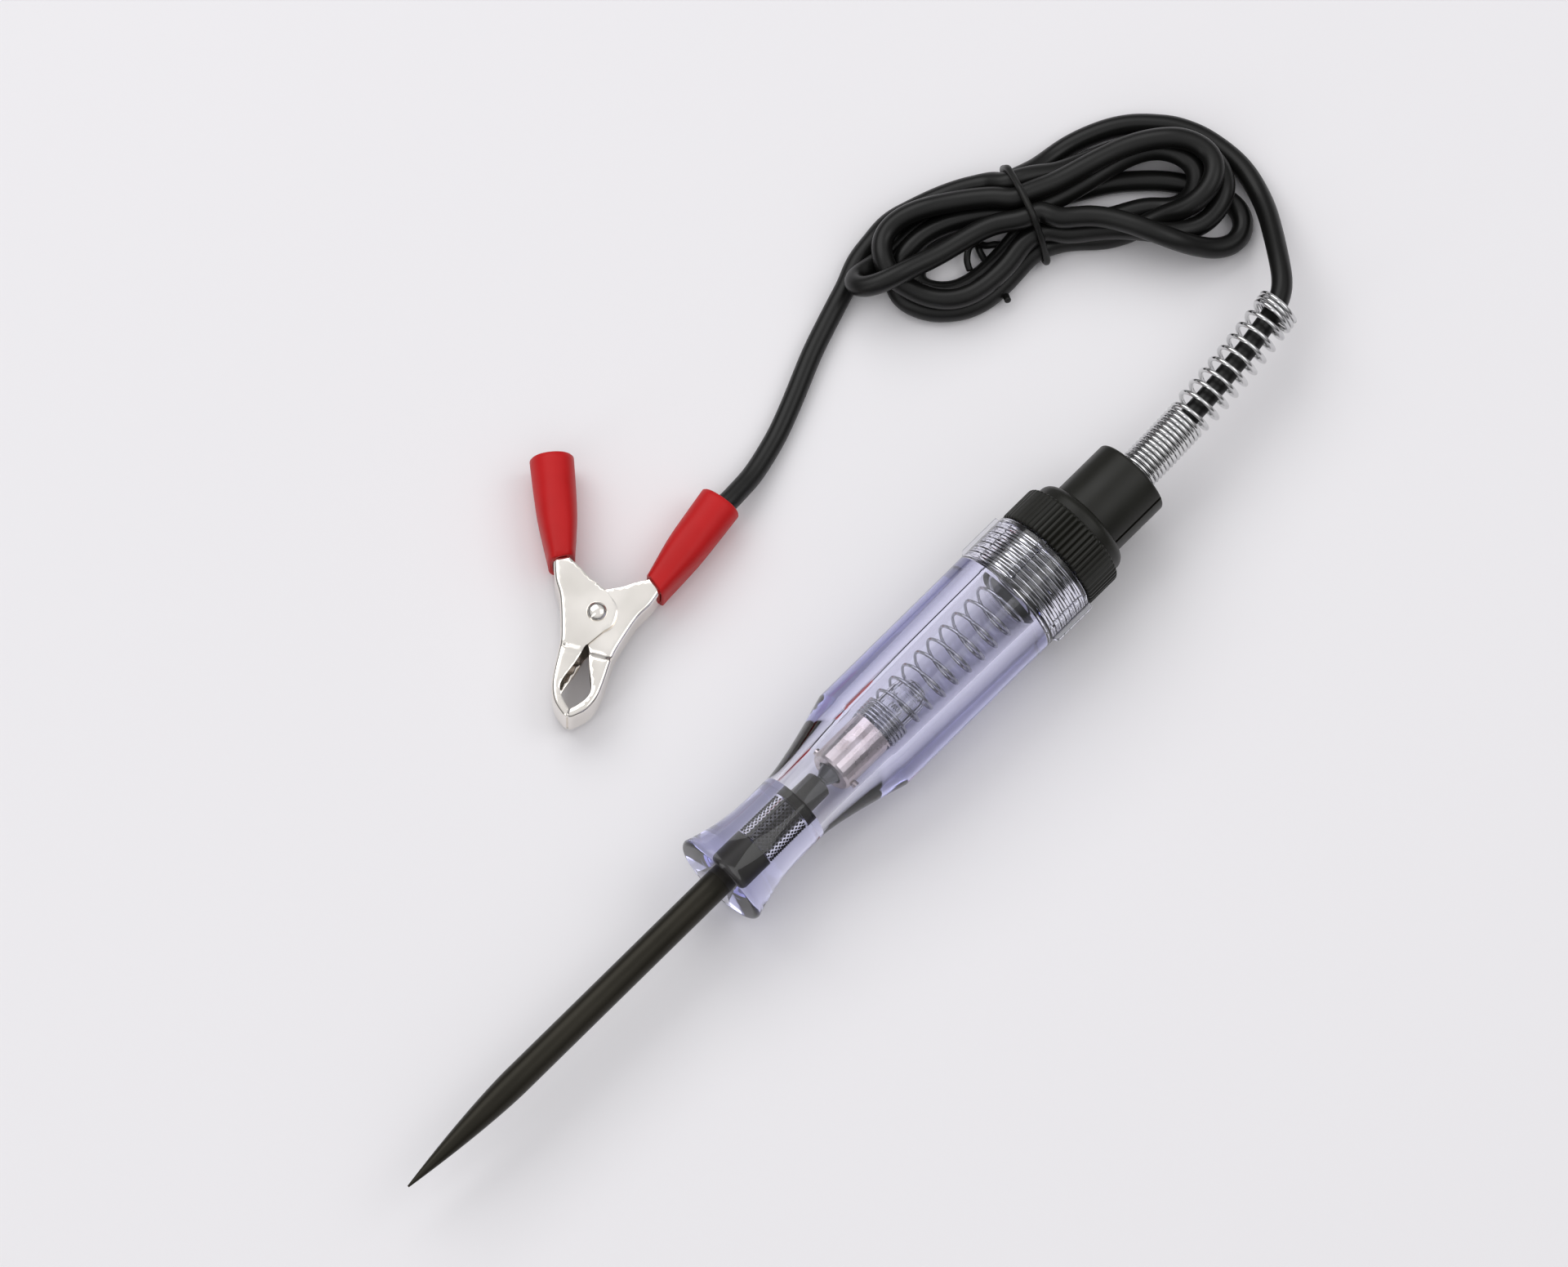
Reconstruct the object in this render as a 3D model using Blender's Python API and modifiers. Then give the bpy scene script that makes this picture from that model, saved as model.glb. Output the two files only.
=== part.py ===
"""Automotive circuit tester: a pointed probe in a clear handle, with a lamp inside it,
a screw cap, a bundled ground lead with a twist tie, and a spring clip on the far end.

The tool lies along +X with its tip at -X, and the lead is spread on the same surface.
Lengths are in metres. Stations along the tool are measured from the probe's tip.
"""
from math import atan2, cos, hypot, pi, radians, sin, tau

import bmesh
import bpy
from mathutils import Matrix, Vector

for stale in list(bpy.data.objects):
    bpy.data.objects.remove(stale, do_unlink=True)

# General clearances
GAP = 0.0003                    # between pieces that touch or seat
RUNNING_GAP = 0.0003            # between pieces that turn on each other

# Probe
PROBE_RADIUS = 0.00275
PROBE_TIP_RADIUS = 0.0002
PROBE_TAPER_LENGTH = 0.028
PROBE_REACH = 0.0815            # tip to the handle's front face
PROBE_TAIL_LENGTH = 0.0065      # out of the bore's floor, towards the lamp
KNURL_START = 0.0085            # from the handle's front face
KNURL_LENGTH = 0.0105
KNURL_DEPTH = 0.00035
PROBE_SIDES = 20

# Handle
HANDLE_LENGTH = 0.0861
HANDLE_RADIUS = 0.01135
NOSE_RADIUS = 0.0097
NOSE_ROUNDING = 0.0009
NOSE_FLARE_LENGTH = 0.016
WAIST_RADIUS = 0.0073
WAIST_END = 0.0205              # from the front face, and the floor of the bore
SHOULDER_START = 0.0381         # from the front face, where the full radius begins
BORE_FRONT_RADIUS = 0.00565
BORE_REAR_RADIUS = 0.0064
COLLAR_LENGTH = 0.0106          # the threaded collar at the rear end
COLLAR_WALL = 0.00155
COLLAR_RIB_LENGTH = 0.0095
COLLAR_RIB_HEIGHT = 0.001
COLLAR_RIB_WIDTH = 0.0011
COLLAR_RIB_COUNT = 4
COLLAR_RIB_ROUNDING = 0.0009     # of the rib's front end
HANDLE_STEPS = 36

# Cap and its screw thread
THREAD_PITCH = 0.0013
THREAD_TURNS = 6.5
THREAD_DEPTH = 0.0006
THREAD_HALF_BASE = 0.42          # of a ridge's foot, as a share of the pitch
RIDGE_SINK = 0.0001             # how far the ridge's foot lies under the spigot's skin
SPIGOT_LENGTH = 0.0101
SPIGOT_BORE_RADIUS = 0.006
SPIGOT_BORE_DEPTH = 0.0075
CAP_RING_INSET = 0.00005        # how much smaller the grip ring is than the handle
CAP_RING_LENGTH = 0.0076
CAP_RING_EDGE = 0.0007
CAP_KNURL_COUNT = 48
CAP_KNURL_DEPTH = 0.0004
CAP_FLANGE_STEP = 0.0013        # from the grip ring in to the flange
CAP_FLANGE_LENGTH = 0.0031
CAP_FLANGE_ROUNDING = 0.0019
CAP_NECK_RADIUS = 0.0079
CAP_NECK_LENGTH = 0.0125
CAP_NECK_EDGE = 0.0006
CAP_SLIT_WIDTH = 0.0006
CAP_SLIT_DIP = radians(21)      # how far the slits' plane tips out of the horizontal
CAP_STEPS = 36

# Lamp
LAMP_BASE_RADIUS = 0.0045
LAMP_BASE_LENGTH = 0.0101
LAMP_BASE_WALL = 0.0004
LAMP_NOSE_LENGTH = 0.0021       # the glass cone in front of the base
LAMP_NOSE_RADIUS = 0.0013
LAMP_SEAL_RADIUS = 0.0023
LAMP_CONTACT_RADIUS = 0.0011
LAMP_CONTACT_LENGTH = 0.0005
LAMP_PIN_RADIUS = 0.0007
LAMP_PIN_REACH = 0.0008
LAMP_PIN_STATION = 0.0015       # from the base's front end
GLASS_RADIUS = 0.0036
GLASS_LENGTH = 0.0125           # past the base's rim
GLASS_WALL = 0.0005
GLASS_SINK = 0.0035             # inside the base
FILAMENT_RADIUS = 0.00015
FILAMENT_SPREAD = 0.0012
FILAMENT_COILS = 5

# Inner spring and the lead's terminal
CONTACT_WIRE = 0.0006
CONTACT_FRONT_RADIUS = 0.0044
CONTACT_REAR_RADIUS = 0.0051
CONTACT_CLOSE_TURNS = 4.5
CONTACT_CLOSE_PITCH = 0.00078
CONTACT_OPEN_TURNS = 11
CONTACT_END_TURNS = 1
TERMINAL_RADIUS = 0.0052
TERMINAL_THICKNESS = 0.0008
TERMINAL_BARREL_RADIUS = 0.0019
TERMINAL_BARREL_LENGTH = 0.0023

# Outer strain relief spring
RELIEF_WIRE = 0.00075
RELIEF_RADIUS = 0.0036          # of the wire's centre line
RELIEF_OPEN_RADIUS = 0.00395
RELIEF_CLOSE_TURNS = 18
RELIEF_CLOSE_PITCH = 0.00098
RELIEF_OPEN_TURNS = 9
RELIEF_OPEN_PITCH = 0.0028
RELIEF_END_TURNS = 2.5
RELIEF_SOCKET_DEPTH = 0.0035    # in the end of the cap's neck
RELIEF_SIDE_DRIFT = 0.0034      # how far the free end has bent sideways
COIL_POINTS_PER_TURN = 10

# Lead
CORD_RADIUS = 0.001975
CORD_POINT_SPACING = 0.0065
LEAD_BEND = [                   # station, side, height over the surface
    (0.2366, 0.0052, 0.0119), (0.2401, 0.0089, 0.0105), (0.2431, 0.0130, 0.0086),
    (0.2459, 0.0173, 0.0065), (0.2485, 0.0217, 0.0046), (0.2502, 0.0256, 0.0036),
]
TAIL_START = [
    (0.1862, 0.0678, 0.0035), (0.1824, 0.0661, 0.0026), (0.1762, 0.0639, 0.00205),
    (0.1696, 0.0613, 0.0020), (0.1620, 0.0581, 0.0020), (0.1555, 0.0556, 0.0020),
    (0.1504, 0.0540, 0.0024), (0.1452, 0.0527, 0.0032), (0.1410, 0.0521, 0.0043),
]
TAIL_MOUTH_SHIFT = 0.0008       # off the sleeve's middle where the lead goes in

# Hank of the bundled lead and its tie
HANK_THICKNESS = 0.0108
HANK_EDGE_ROUNDING = 0.0018
HANK_RIGHT_LOBE = [
    (0.2338, 0.0573), (0.2414, 0.0538), (0.2476, 0.0478), (0.2520, 0.0405),
    (0.2538, 0.0324), (0.2515, 0.0247), (0.2457, 0.0185), (0.2398, 0.0158),
    (0.2344, 0.0173), (0.2300, 0.0224), (0.2262, 0.0310),
]
HANK_LEFT_LOBE = [
    (0.2052, 0.0416), (0.1995, 0.0413), (0.1945, 0.0426), (0.1897, 0.0465),
    (0.1864, 0.0533), (0.1841, 0.0604), (0.1822, 0.0655), (0.1842, 0.0692),
    (0.1895, 0.0706), (0.2010, 0.0703), (0.2085, 0.0672),
]
TIE_STATION = 0.2166
TIE_SIDE = 0.0512
TIE_ANGLE = radians(-21.4)      # of the hank's run at the tie
TIE_HALF_WIDTH = 0.0093         # of the bundle under the tie
TIE_FLAT = 0.0022               # the bundle stays this straight on either side of the tie
TIE_WIRE_RADIUS = 0.00065
TIE_TAIL_LENGTH = 0.0085
TIE_CORNER = 0.0022              # of the tie's bends round the bundle

# Clip, in its own frame: +Y towards the handles, the rivet at the centre, lying flat
CLIP_STATION = 0.1044
CLIP_SIDE = 0.0532
CLIP_ANGLE = radians(-61)
CLIP_SHEET = 0.0006
CLIP_HALF_HEIGHT = 0.0042       # of the moving half, which straddles the fixed one
CLIP_EAR_RADIUS = 0.0038
CLIP_JAW_LENGTH = 0.0211
CLIP_JAW_BULGE = 0.00485
CLIP_TIP_MEET = 0.0002          # half of the gap between the closed tips
CLIP_SHOULDER = (0.0092, 0.0043)
CLIP_ARM_ROOT = (0.0091, 0.0088)
CLIP_ARM_END = (0.0151, 0.0250)
CLIP_ARM_ROOT_HALF_WIDTH = 0.0016
CLIP_ARM_END_HALF_WIDTH = 0.0025
CLIP_LIP_LENGTH = 0.0018        # where the jaws meet, from the tip back
CLIP_WINDOW = [                 # one edge of the opening between the jaws, from the tip back
    (0.00125, -0.0183), (0.00255, -0.0165), (0.00285, -0.0144),
    (0.0014, -0.0104), (0.0004, -0.0070),
]
CLIP_EAR_EDGE = [(-0.0004, 0.0045), (0.0029, 0.0060), (0.0053, 0.0076)]
RIVET_RADIUS = 0.0011
RIVET_HEAD_RADIUS = 0.0019
RIVET_HEAD_HEIGHT = 0.0006
CLIP_SPRING_WIRE = 0.0009
CLIP_SPRING_RADIUS = 0.0021
CLIP_SPRING_TURNS = 3           # and the part turn between the legs
CLIP_SPRING_PITCH = 0.0011
SLEEVE_WALL = 0.0008
SLEEVE_OVERHANG = 0.003         # past the end of the arm
SLEEVE_FLARE = 0.0007           # how much wider the free end is, each side
SLEEVE_ROOT_CORNER = 0.0017
SLEEVE_END_CORNER = 0.0024      # over the end of the arm
SLEEVE_MOUTH_CORNER = 0.0038
SLEEVE_ROOT_SLANT = 0.45        # how much further the root reaches on the outer side
SLEEVE_SIDES = 28
CONDUCTOR_RADIUS = 0.0008
CONDUCTOR_LENGTH = 0.005

# Stations worked out from the sizes above
HANDLE_REAR = PROBE_REACH + HANDLE_LENGTH
BORE_FLOOR = PROBE_REACH + WAIST_END
COLLAR_START = HANDLE_REAR - COLLAR_LENGTH
PROBE_LENGTH = BORE_FLOOR + PROBE_TAIL_LENGTH
LAMP_FRONT = PROBE_LENGTH + GAP
LAMP_BASE_FRONT = LAMP_FRONT + LAMP_CONTACT_LENGTH + LAMP_NOSE_LENGTH
LAMP_BASE_REAR = LAMP_BASE_FRONT + LAMP_BASE_LENGTH
CAP_FACE = HANDLE_REAR + RUNNING_GAP
SPIGOT_FRONT = CAP_FACE - SPIGOT_LENGTH
SPIGOT_FLOOR = SPIGOT_FRONT + SPIGOT_BORE_DEPTH
TERMINAL_REAR = SPIGOT_FLOOR - GAP
FLANGE_START = CAP_FACE + CAP_RING_LENGTH
NECK_START = FLANGE_START + CAP_FLANGE_LENGTH
CAP_REAR = NECK_START + CAP_NECK_LENGTH
RELIEF_START = CAP_REAR - RELIEF_SOCKET_DEPTH + GAP + RELIEF_WIRE / 2
RELIEF_LENGTH = ((RELIEF_CLOSE_TURNS + RELIEF_END_TURNS) * RELIEF_CLOSE_PITCH
                 + RELIEF_OPEN_TURNS * RELIEF_OPEN_PITCH)
RELIEF_END = RELIEF_START + RELIEF_LENGTH
TOOL_LENGTH = RELIEF_END + RELIEF_WIRE / 2
THREAD_BORE_RADIUS = HANDLE_RADIUS - COLLAR_WALL
THREAD_CREST_RADIUS = THREAD_BORE_RADIUS - RUNNING_GAP
THREAD_ROOT_RADIUS = THREAD_CREST_RADIUS - THREAD_DEPTH
CAP_RING_RADIUS = HANDLE_RADIUS - CAP_RING_INSET
CAP_FLANGE_RADIUS = CAP_RING_RADIUS - CAP_FLANGE_STEP
CORD_BORE_RADIUS = CORD_RADIUS + GAP
RIB_RADIUS = HANDLE_RADIUS + COLLAR_RIB_HEIGHT
AXIS_HEIGHT = RIB_RADIUS
TIP_X = -TOOL_LENGTH / 2
FIXED_HALF_HEIGHT = CLIP_HALF_HEIGHT - CLIP_SHEET - RUNNING_GAP
SLEEVE_HALF_HEIGHT = CLIP_HALF_HEIGHT + GAP + SLEEVE_WALL
CLIP_HEIGHT = SLEEVE_HALF_HEIGHT
ARM_SLOPE = (CLIP_ARM_END[0] - CLIP_ARM_ROOT[0]) / (CLIP_ARM_END[1] - CLIP_ARM_ROOT[1])
JACKET_END = CLIP_ARM_END[1] + GAP + CORD_RADIUS * ARM_SLOPE
TIE_FLOOR = 2 * TIE_WIRE_RADIUS
HANK_BOTTOM = TIE_FLOOR + GAP


def new_collection(name):
    collection = bpy.data.collections.new(name)
    bpy.context.scene.collection.children.link(collection)
    return collection


PARTS = new_collection("circuit_tester")
CUTTERS = new_collection("cutters")


def material(name, colour, roughness, metallic=0.0, transmission=0.0):
    made = bpy.data.materials.new(name)
    made.use_nodes = True
    shader = made.node_tree.nodes["Principled BSDF"]
    shader.inputs["Base Color"].default_value = (*colour, 1.0)
    shader.inputs["Roughness"].default_value = roughness
    shader.inputs["Metallic"].default_value = metallic
    shader.inputs["Transmission Weight"].default_value = transmission
    made.diffuse_color = (*colour, 1.0)
    return made


CLEAR_VIOLET = material("clear_violet_plastic", (0.55, 0.55, 0.85), 0.08, transmission=0.9)
BLACK_PLASTIC = material("black_plastic", (0.02, 0.02, 0.02), 0.45)
BLACK_OXIDE = material("black_oxide_steel", (0.03, 0.028, 0.022), 0.35, metallic=0.8)
ZINC = material("zinc_steel", (0.72, 0.73, 0.75), 0.25, metallic=1.0)
NICKEL = material("nickel_plate", (0.68, 0.64, 0.58), 0.3, metallic=1.0)
LAMP_GLASS = material("lamp_glass", (0.95, 0.95, 0.95), 0.02, transmission=1.0)
DARK_GLASS = material("dark_glass", (0.03, 0.03, 0.035), 0.2)
SOLDER = material("solder", (0.6, 0.6, 0.6), 0.4, metallic=1.0)
TUNGSTEN = material("tungsten", (0.35, 0.35, 0.36), 0.35, metallic=1.0)
CABLE_BLACK = material("black_pvc", (0.018, 0.018, 0.02), 0.5)
SLEEVE_RED = material("red_pvc", (0.65, 0.03, 0.025), 0.4)
COPPER = material("copper", (0.75, 0.38, 0.22), 0.35, metallic=1.0)


def add_object(name, data, paint, collection=None):
    made = bpy.data.objects.new(name, data)
    (collection or PARTS).objects.link(made)
    if data.materials:
        data.materials[0] = paint
    else:
        data.materials.append(paint)
    if collection is CUTTERS:
        made.hide_render = True
        made.display_type = "WIRE"
    return made


def place_on_tool(made, station=0.0, roll=0.0):
    """Turn an object's Z axis to the tool's axis and put its origin at a station."""
    made.rotation_euler = (Matrix.Rotation(roll, 3, "X") @ Matrix.Rotation(pi / 2, 3, "Y")).to_euler()
    made.location = (TIP_X + station, 0.0, AXIS_HEIGHT)
    return made


def turned(name, profile, paint, steps, closed=False, collection=None):
    """Revolve a profile of (radius, station) pairs, which runs down its outer side."""
    count = len(profile)
    edges = [(index, index + 1) for index in range(count - 1)]
    if closed:
        edges.append((count - 1, 0))
    mesh = bpy.data.meshes.new(name)
    mesh.from_pydata([(radius, 0.0, station) for radius, station in profile], edges, [])
    made = add_object(name, mesh, paint, collection)
    screw = made.modifiers.new("turn", "SCREW")
    screw.angle = tau
    screw.steps = steps
    screw.render_steps = steps
    screw.use_merge_vertices = not closed
    screw.merge_threshold = 0.00001
    screw.use_smooth_shade = True
    return place_on_tool(made)


def boolean(target, cutter, operation):
    step = target.modifiers.new(cutter.name, "BOOLEAN")
    step.operation = operation
    step.solver = "EXACT"
    step.object = cutter


def arc(centre, radius, start, end, steps):
    return [(centre[0] + radius * cos(start + (end - start) * index / steps),
             centre[1] + radius * sin(start + (end - start) * index / steps))
            for index in range(steps + 1)]


def smooth_path(points, per_span, closed=False):
    """A Catmull-Rom curve through the points, in any number of dimensions."""
    vectors = [Vector(point) for point in points]
    count = len(vectors)
    spans = count if closed else count - 1
    result = []
    for span in range(spans):
        if closed:
            before, start, end, after = (vectors[(span + shift) % count] for shift in (-1, 0, 1, 2))
        else:
            start, end = vectors[span], vectors[span + 1]
            before = vectors[span - 1] if span else start * 2 - end
            after = vectors[span + 2] if span + 2 < count else end * 2 - start
        for index in range(per_span):
            t = index / per_span
            result.append(0.5 * ((2 * start) + (end - before) * t
                                 + (2 * before - 5 * start + 4 * end - after) * t ** 2
                                 + (3 * start - before - 3 * end + after) * t ** 3))
    if not closed:
        result.append(vectors[-1])
    return result


def wire(name, points, radius, paint, resolution=1, collection=None):
    """A round wire or cord as a curve object with filled caps."""
    curve = bpy.data.curves.new(name, "CURVE")
    curve.dimensions = "3D"
    curve.bevel_depth = radius
    curve.bevel_resolution = resolution
    curve.use_fill_caps = True
    spline = curve.splines.new("POLY")
    spline.points.add(len(points) - 1)
    for knot, point in zip(spline.points, points):
        knot.co = (*point, 1.0)
    return add_object(name, curve, paint, collection)


def as_mesh(source, collection=None):
    """Replace a curve object by its welded mesh, so that it can take or be a cutter."""
    bpy.context.view_layer.update()
    evaluated = source.evaluated_get(bpy.context.evaluated_depsgraph_get())
    mesh = bpy.data.meshes.new_from_object(evaluated)
    work = bmesh.new()
    work.from_mesh(mesh)
    bmesh.ops.remove_doubles(work, verts=work.verts, dist=0.000001)
    bmesh.ops.recalc_face_normals(work, faces=work.faces)
    work.to_mesh(mesh)
    work.free()
    name, paint, place = source.name, source.data.materials[0], source.matrix_world.copy()
    bpy.data.objects.remove(source, do_unlink=True)
    made = add_object(name, mesh, paint, collection)
    made.matrix_world = place
    return made


def plate(name, outline, thickness, paint, rounding=0.0, edge_steps=1, collection=None):
    """A flat outline with thickness about its own plane, its edges cut back if asked."""
    curve = bpy.data.curves.new(name, "CURVE")
    curve.dimensions = "2D"
    curve.fill_mode = "BOTH"
    curve.extrude = thickness / 2 - rounding
    curve.bevel_depth = rounding
    curve.bevel_resolution = edge_steps
    curve.offset = -rounding
    spline = curve.splines.new("POLY")
    spline.points.add(len(outline) - 1)
    for knot, point in zip(spline.points, outline):
        knot.co = (point[0], point[1], 0.0, 1.0)
    spline.use_cyclic_u = True
    return as_mesh(add_object(name, curve, paint, collection), collection)


def ring_loft(name, rings, paint, capped=True, collection=None):
    """Skin rings of equal point counts, each a list of 3-D points."""
    work = bmesh.new()
    loops = [[work.verts.new(point) for point in ring] for ring in rings]
    sides = len(loops[0])
    for low, high in zip(loops, loops[1:]):
        for index in range(sides):
            nearby = (index + 1) % sides
            work.faces.new((low[index], low[nearby], high[nearby], high[index]))
    if capped:
        work.faces.new(list(reversed(loops[0])))
        work.faces.new(loops[-1])
    bmesh.ops.recalc_face_normals(work, faces=work.faces)
    mesh = bpy.data.meshes.new(name)
    work.to_mesh(mesh)
    work.free()
    for face in mesh.polygons:
        face.use_smooth = True
    mesh.set_sharp_from_angle(angle=radians(35))
    return add_object(name, mesh, paint, collection)


def probe_radius(station):
    if station >= PROBE_TAPER_LENGTH:
        return PROBE_RADIUS
    share = 1 - (1 - station / PROBE_TAPER_LENGTH) ** 1.55
    return PROBE_TIP_RADIUS + (PROBE_RADIUS - PROBE_TIP_RADIUS) * share


def make_probe():
    """A ground point, a plain shank, a diamond knurl that the handle grips, and a tail."""
    taper_rings = 9
    knurl_rings = 12
    knurl_start = PROBE_REACH + KNURL_START
    stations = [PROBE_TAPER_LENGTH * (index / taper_rings) ** 1.5 for index in range(taper_rings)]
    stations.append(PROBE_TAPER_LENGTH)
    first_knurl = len(stations)
    stations += [knurl_start + KNURL_LENGTH * index / knurl_rings for index in range(knurl_rings + 1)]
    last_knurl = len(stations) - 1
    stations.append(PROBE_LENGTH)
    rings = []
    for row, station in enumerate(stations):
        ring = []
        for column in range(PROBE_SIDES):
            radius = probe_radius(station)
            if first_knurl < row < last_knurl and (row + column) % 2:
                radius -= KNURL_DEPTH
            angle = tau * column / PROBE_SIDES
            ring.append((radius * cos(angle), radius * sin(angle), station))
        rings.append(ring)
    place_on_tool(ring_loft("probe", rings, BLACK_OXIDE))


def handle_profile():
    """Down the outside from the rear rim, across the nose, then up the hole and the bore."""
    hole_radius = PROBE_RADIUS + GAP
    profile = [(HANDLE_RADIUS, HANDLE_REAR)]
    flare_steps = 6
    for index in range(flare_steps + 1):
        share = 1 - index / flare_steps
        radius = WAIST_RADIUS + (HANDLE_RADIUS - WAIST_RADIUS) * share ** 1.3
        profile.append((radius, BORE_FLOOR + (SHOULDER_START - WAIST_END) * share))
    nose_steps = 5
    for index in range(nose_steps):
        share = index / nose_steps
        radius = WAIST_RADIUS + (NOSE_RADIUS - WAIST_RADIUS) * share ** 2.2
        profile.append((radius, PROBE_REACH + NOSE_FLARE_LENGTH * (1 - share)))
    profile += [(radius, station) for radius, station in
                arc((NOSE_RADIUS - NOSE_ROUNDING, PROBE_REACH + NOSE_ROUNDING),
                    NOSE_ROUNDING, 0.0, -pi / 2, 3)]
    profile += [(hole_radius, PROBE_REACH), (hole_radius, BORE_FLOOR),
                (BORE_FRONT_RADIUS, BORE_FLOOR), (BORE_REAR_RADIUS, COLLAR_START),
                (THREAD_BORE_RADIUS, COLLAR_START), (THREAD_BORE_RADIUS, HANDLE_REAR)]
    return profile


def make_handle():
    handle = turned("handle", handle_profile(), CLEAR_VIOLET, HANDLE_STEPS, closed=True)
    root = HANDLE_RADIUS - COLLAR_RIB_HEIGHT
    corner = COLLAR_RIB_ROUNDING
    outline = [(COLLAR_RIB_LENGTH, root), (COLLAR_RIB_LENGTH, RIB_RADIUS)]
    outline += arc((corner, RIB_RADIUS - corner), corner, pi / 2, pi, 3)
    outline.append((0.0, root))
    for index in range(COLLAR_RIB_COUNT):
        rib = plate(f"collar_rib_{index}", outline, COLLAR_RIB_WIDTH, CLEAR_VIOLET, collection=CUTTERS)
        rib.rotation_euler = (Matrix.Rotation(tau * index / COLLAR_RIB_COUNT, 3, "X")
                              @ Matrix.Rotation(pi / 2, 3, "X")).to_euler()
        rib.location = (TIP_X + HANDLE_REAR - COLLAR_RIB_LENGTH, 0.0, AXIS_HEIGHT)
        boolean(handle, rib, "UNION")


def thread_ridge():
    """A triangular ridge wound on the spigot, sunk a little into it."""
    points_per_turn = 16
    foot_radius = THREAD_ROOT_RADIUS - RIDGE_SINK
    half_base = THREAD_PITCH * THREAD_HALF_BASE
    start = SPIGOT_FRONT + half_base + GAP
    rings = []
    for index in range(int(THREAD_TURNS * points_per_turn) + 1):
        turn = index / points_per_turn
        angle = tau * turn
        station = start + THREAD_PITCH * turn
        corners = [(foot_radius, station - half_base),
                   (THREAD_CREST_RADIUS, station),
                   (foot_radius, station + half_base)]
        rings.append([(radius * cos(angle), radius * sin(angle), place) for radius, place in corners])
    return place_on_tool(ring_loft("thread_ridge", rings, BLACK_PLASTIC, collection=CUTTERS))


def knurled_ring():
    """The grip ring of the cap, a notched disc with chamfered ends."""
    outline = []
    for index in range(CAP_KNURL_COUNT * 2):
        radius = CAP_RING_RADIUS - (CAP_KNURL_DEPTH if index % 2 else 0.0)
        angle = pi * index / CAP_KNURL_COUNT
        outline.append((radius * cos(angle), radius * sin(angle)))
    ring = plate("knurled_ring", outline, CAP_RING_LENGTH, BLACK_PLASTIC,
                 rounding=CAP_RING_EDGE, edge_steps=0, collection=CUTTERS)
    return place_on_tool(ring, CAP_FACE + CAP_RING_LENGTH / 2)


def make_cap():
    """Knurled screw cap: a hollow threaded spigot, the grip ring, a flange and a slit neck."""
    core_radius = CAP_RING_RADIUS - CAP_RING_EDGE * 2
    rounding = CAP_FLANGE_ROUNDING
    socket_radius = RELIEF_RADIUS + RELIEF_WIRE / 2 + GAP
    socket_floor = CAP_REAR - RELIEF_SOCKET_DEPTH
    profile = [(socket_radius, CAP_REAR), (CAP_NECK_RADIUS - CAP_NECK_EDGE, CAP_REAR),
               (CAP_NECK_RADIUS, CAP_REAR - CAP_NECK_EDGE), (CAP_NECK_RADIUS, NECK_START)]
    profile += arc((CAP_FLANGE_RADIUS - rounding, NECK_START - rounding), rounding, pi / 2, 0.0, 4)
    profile += [(CAP_FLANGE_RADIUS, FLANGE_START - CAP_RING_EDGE),
                (core_radius, FLANGE_START - CAP_RING_EDGE), (core_radius, CAP_FACE + CAP_RING_EDGE),
                (THREAD_ROOT_RADIUS, CAP_FACE + CAP_RING_EDGE), (THREAD_ROOT_RADIUS, SPIGOT_FRONT),
                (SPIGOT_BORE_RADIUS, SPIGOT_FRONT), (SPIGOT_BORE_RADIUS, SPIGOT_FLOOR),
                (CORD_BORE_RADIUS, SPIGOT_FLOOR), (CORD_BORE_RADIUS, socket_floor),
                (socket_radius, socket_floor)]
    cap = turned("cap", profile, BLACK_PLASTIC, CAP_STEPS, closed=True)
    ring = knurled_ring()
    bore = turned("ring_bore", [(0.0, FLANGE_START + GAP), (core_radius - GAP, FLANGE_START + GAP),
                                (core_radius - GAP, CAP_FACE - GAP), (0.0, CAP_FACE - GAP)],
                  BLACK_PLASTIC, CAP_STEPS, collection=CUTTERS)
    boolean(ring, bore, "DIFFERENCE")
    boolean(cap, ring, "UNION")
    boolean(cap, thread_ridge(), "UNION")
    slit_outline = [(NECK_START, -CAP_NECK_RADIUS * 1.2), (CAP_REAR + GAP, -CAP_NECK_RADIUS * 1.2),
                    (CAP_REAR + GAP, CAP_NECK_RADIUS * 1.2), (NECK_START, CAP_NECK_RADIUS * 1.2)]
    slit = plate("neck_slit", slit_outline, CAP_SLIT_WIDTH, BLACK_PLASTIC, collection=CUTTERS)
    slit.rotation_euler = (CAP_SLIT_DIP * -1, 0.0, 0.0)
    slit.location = (TIP_X, 0.0, AXIS_HEIGHT)
    boolean(cap, slit, "DIFFERENCE")


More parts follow.
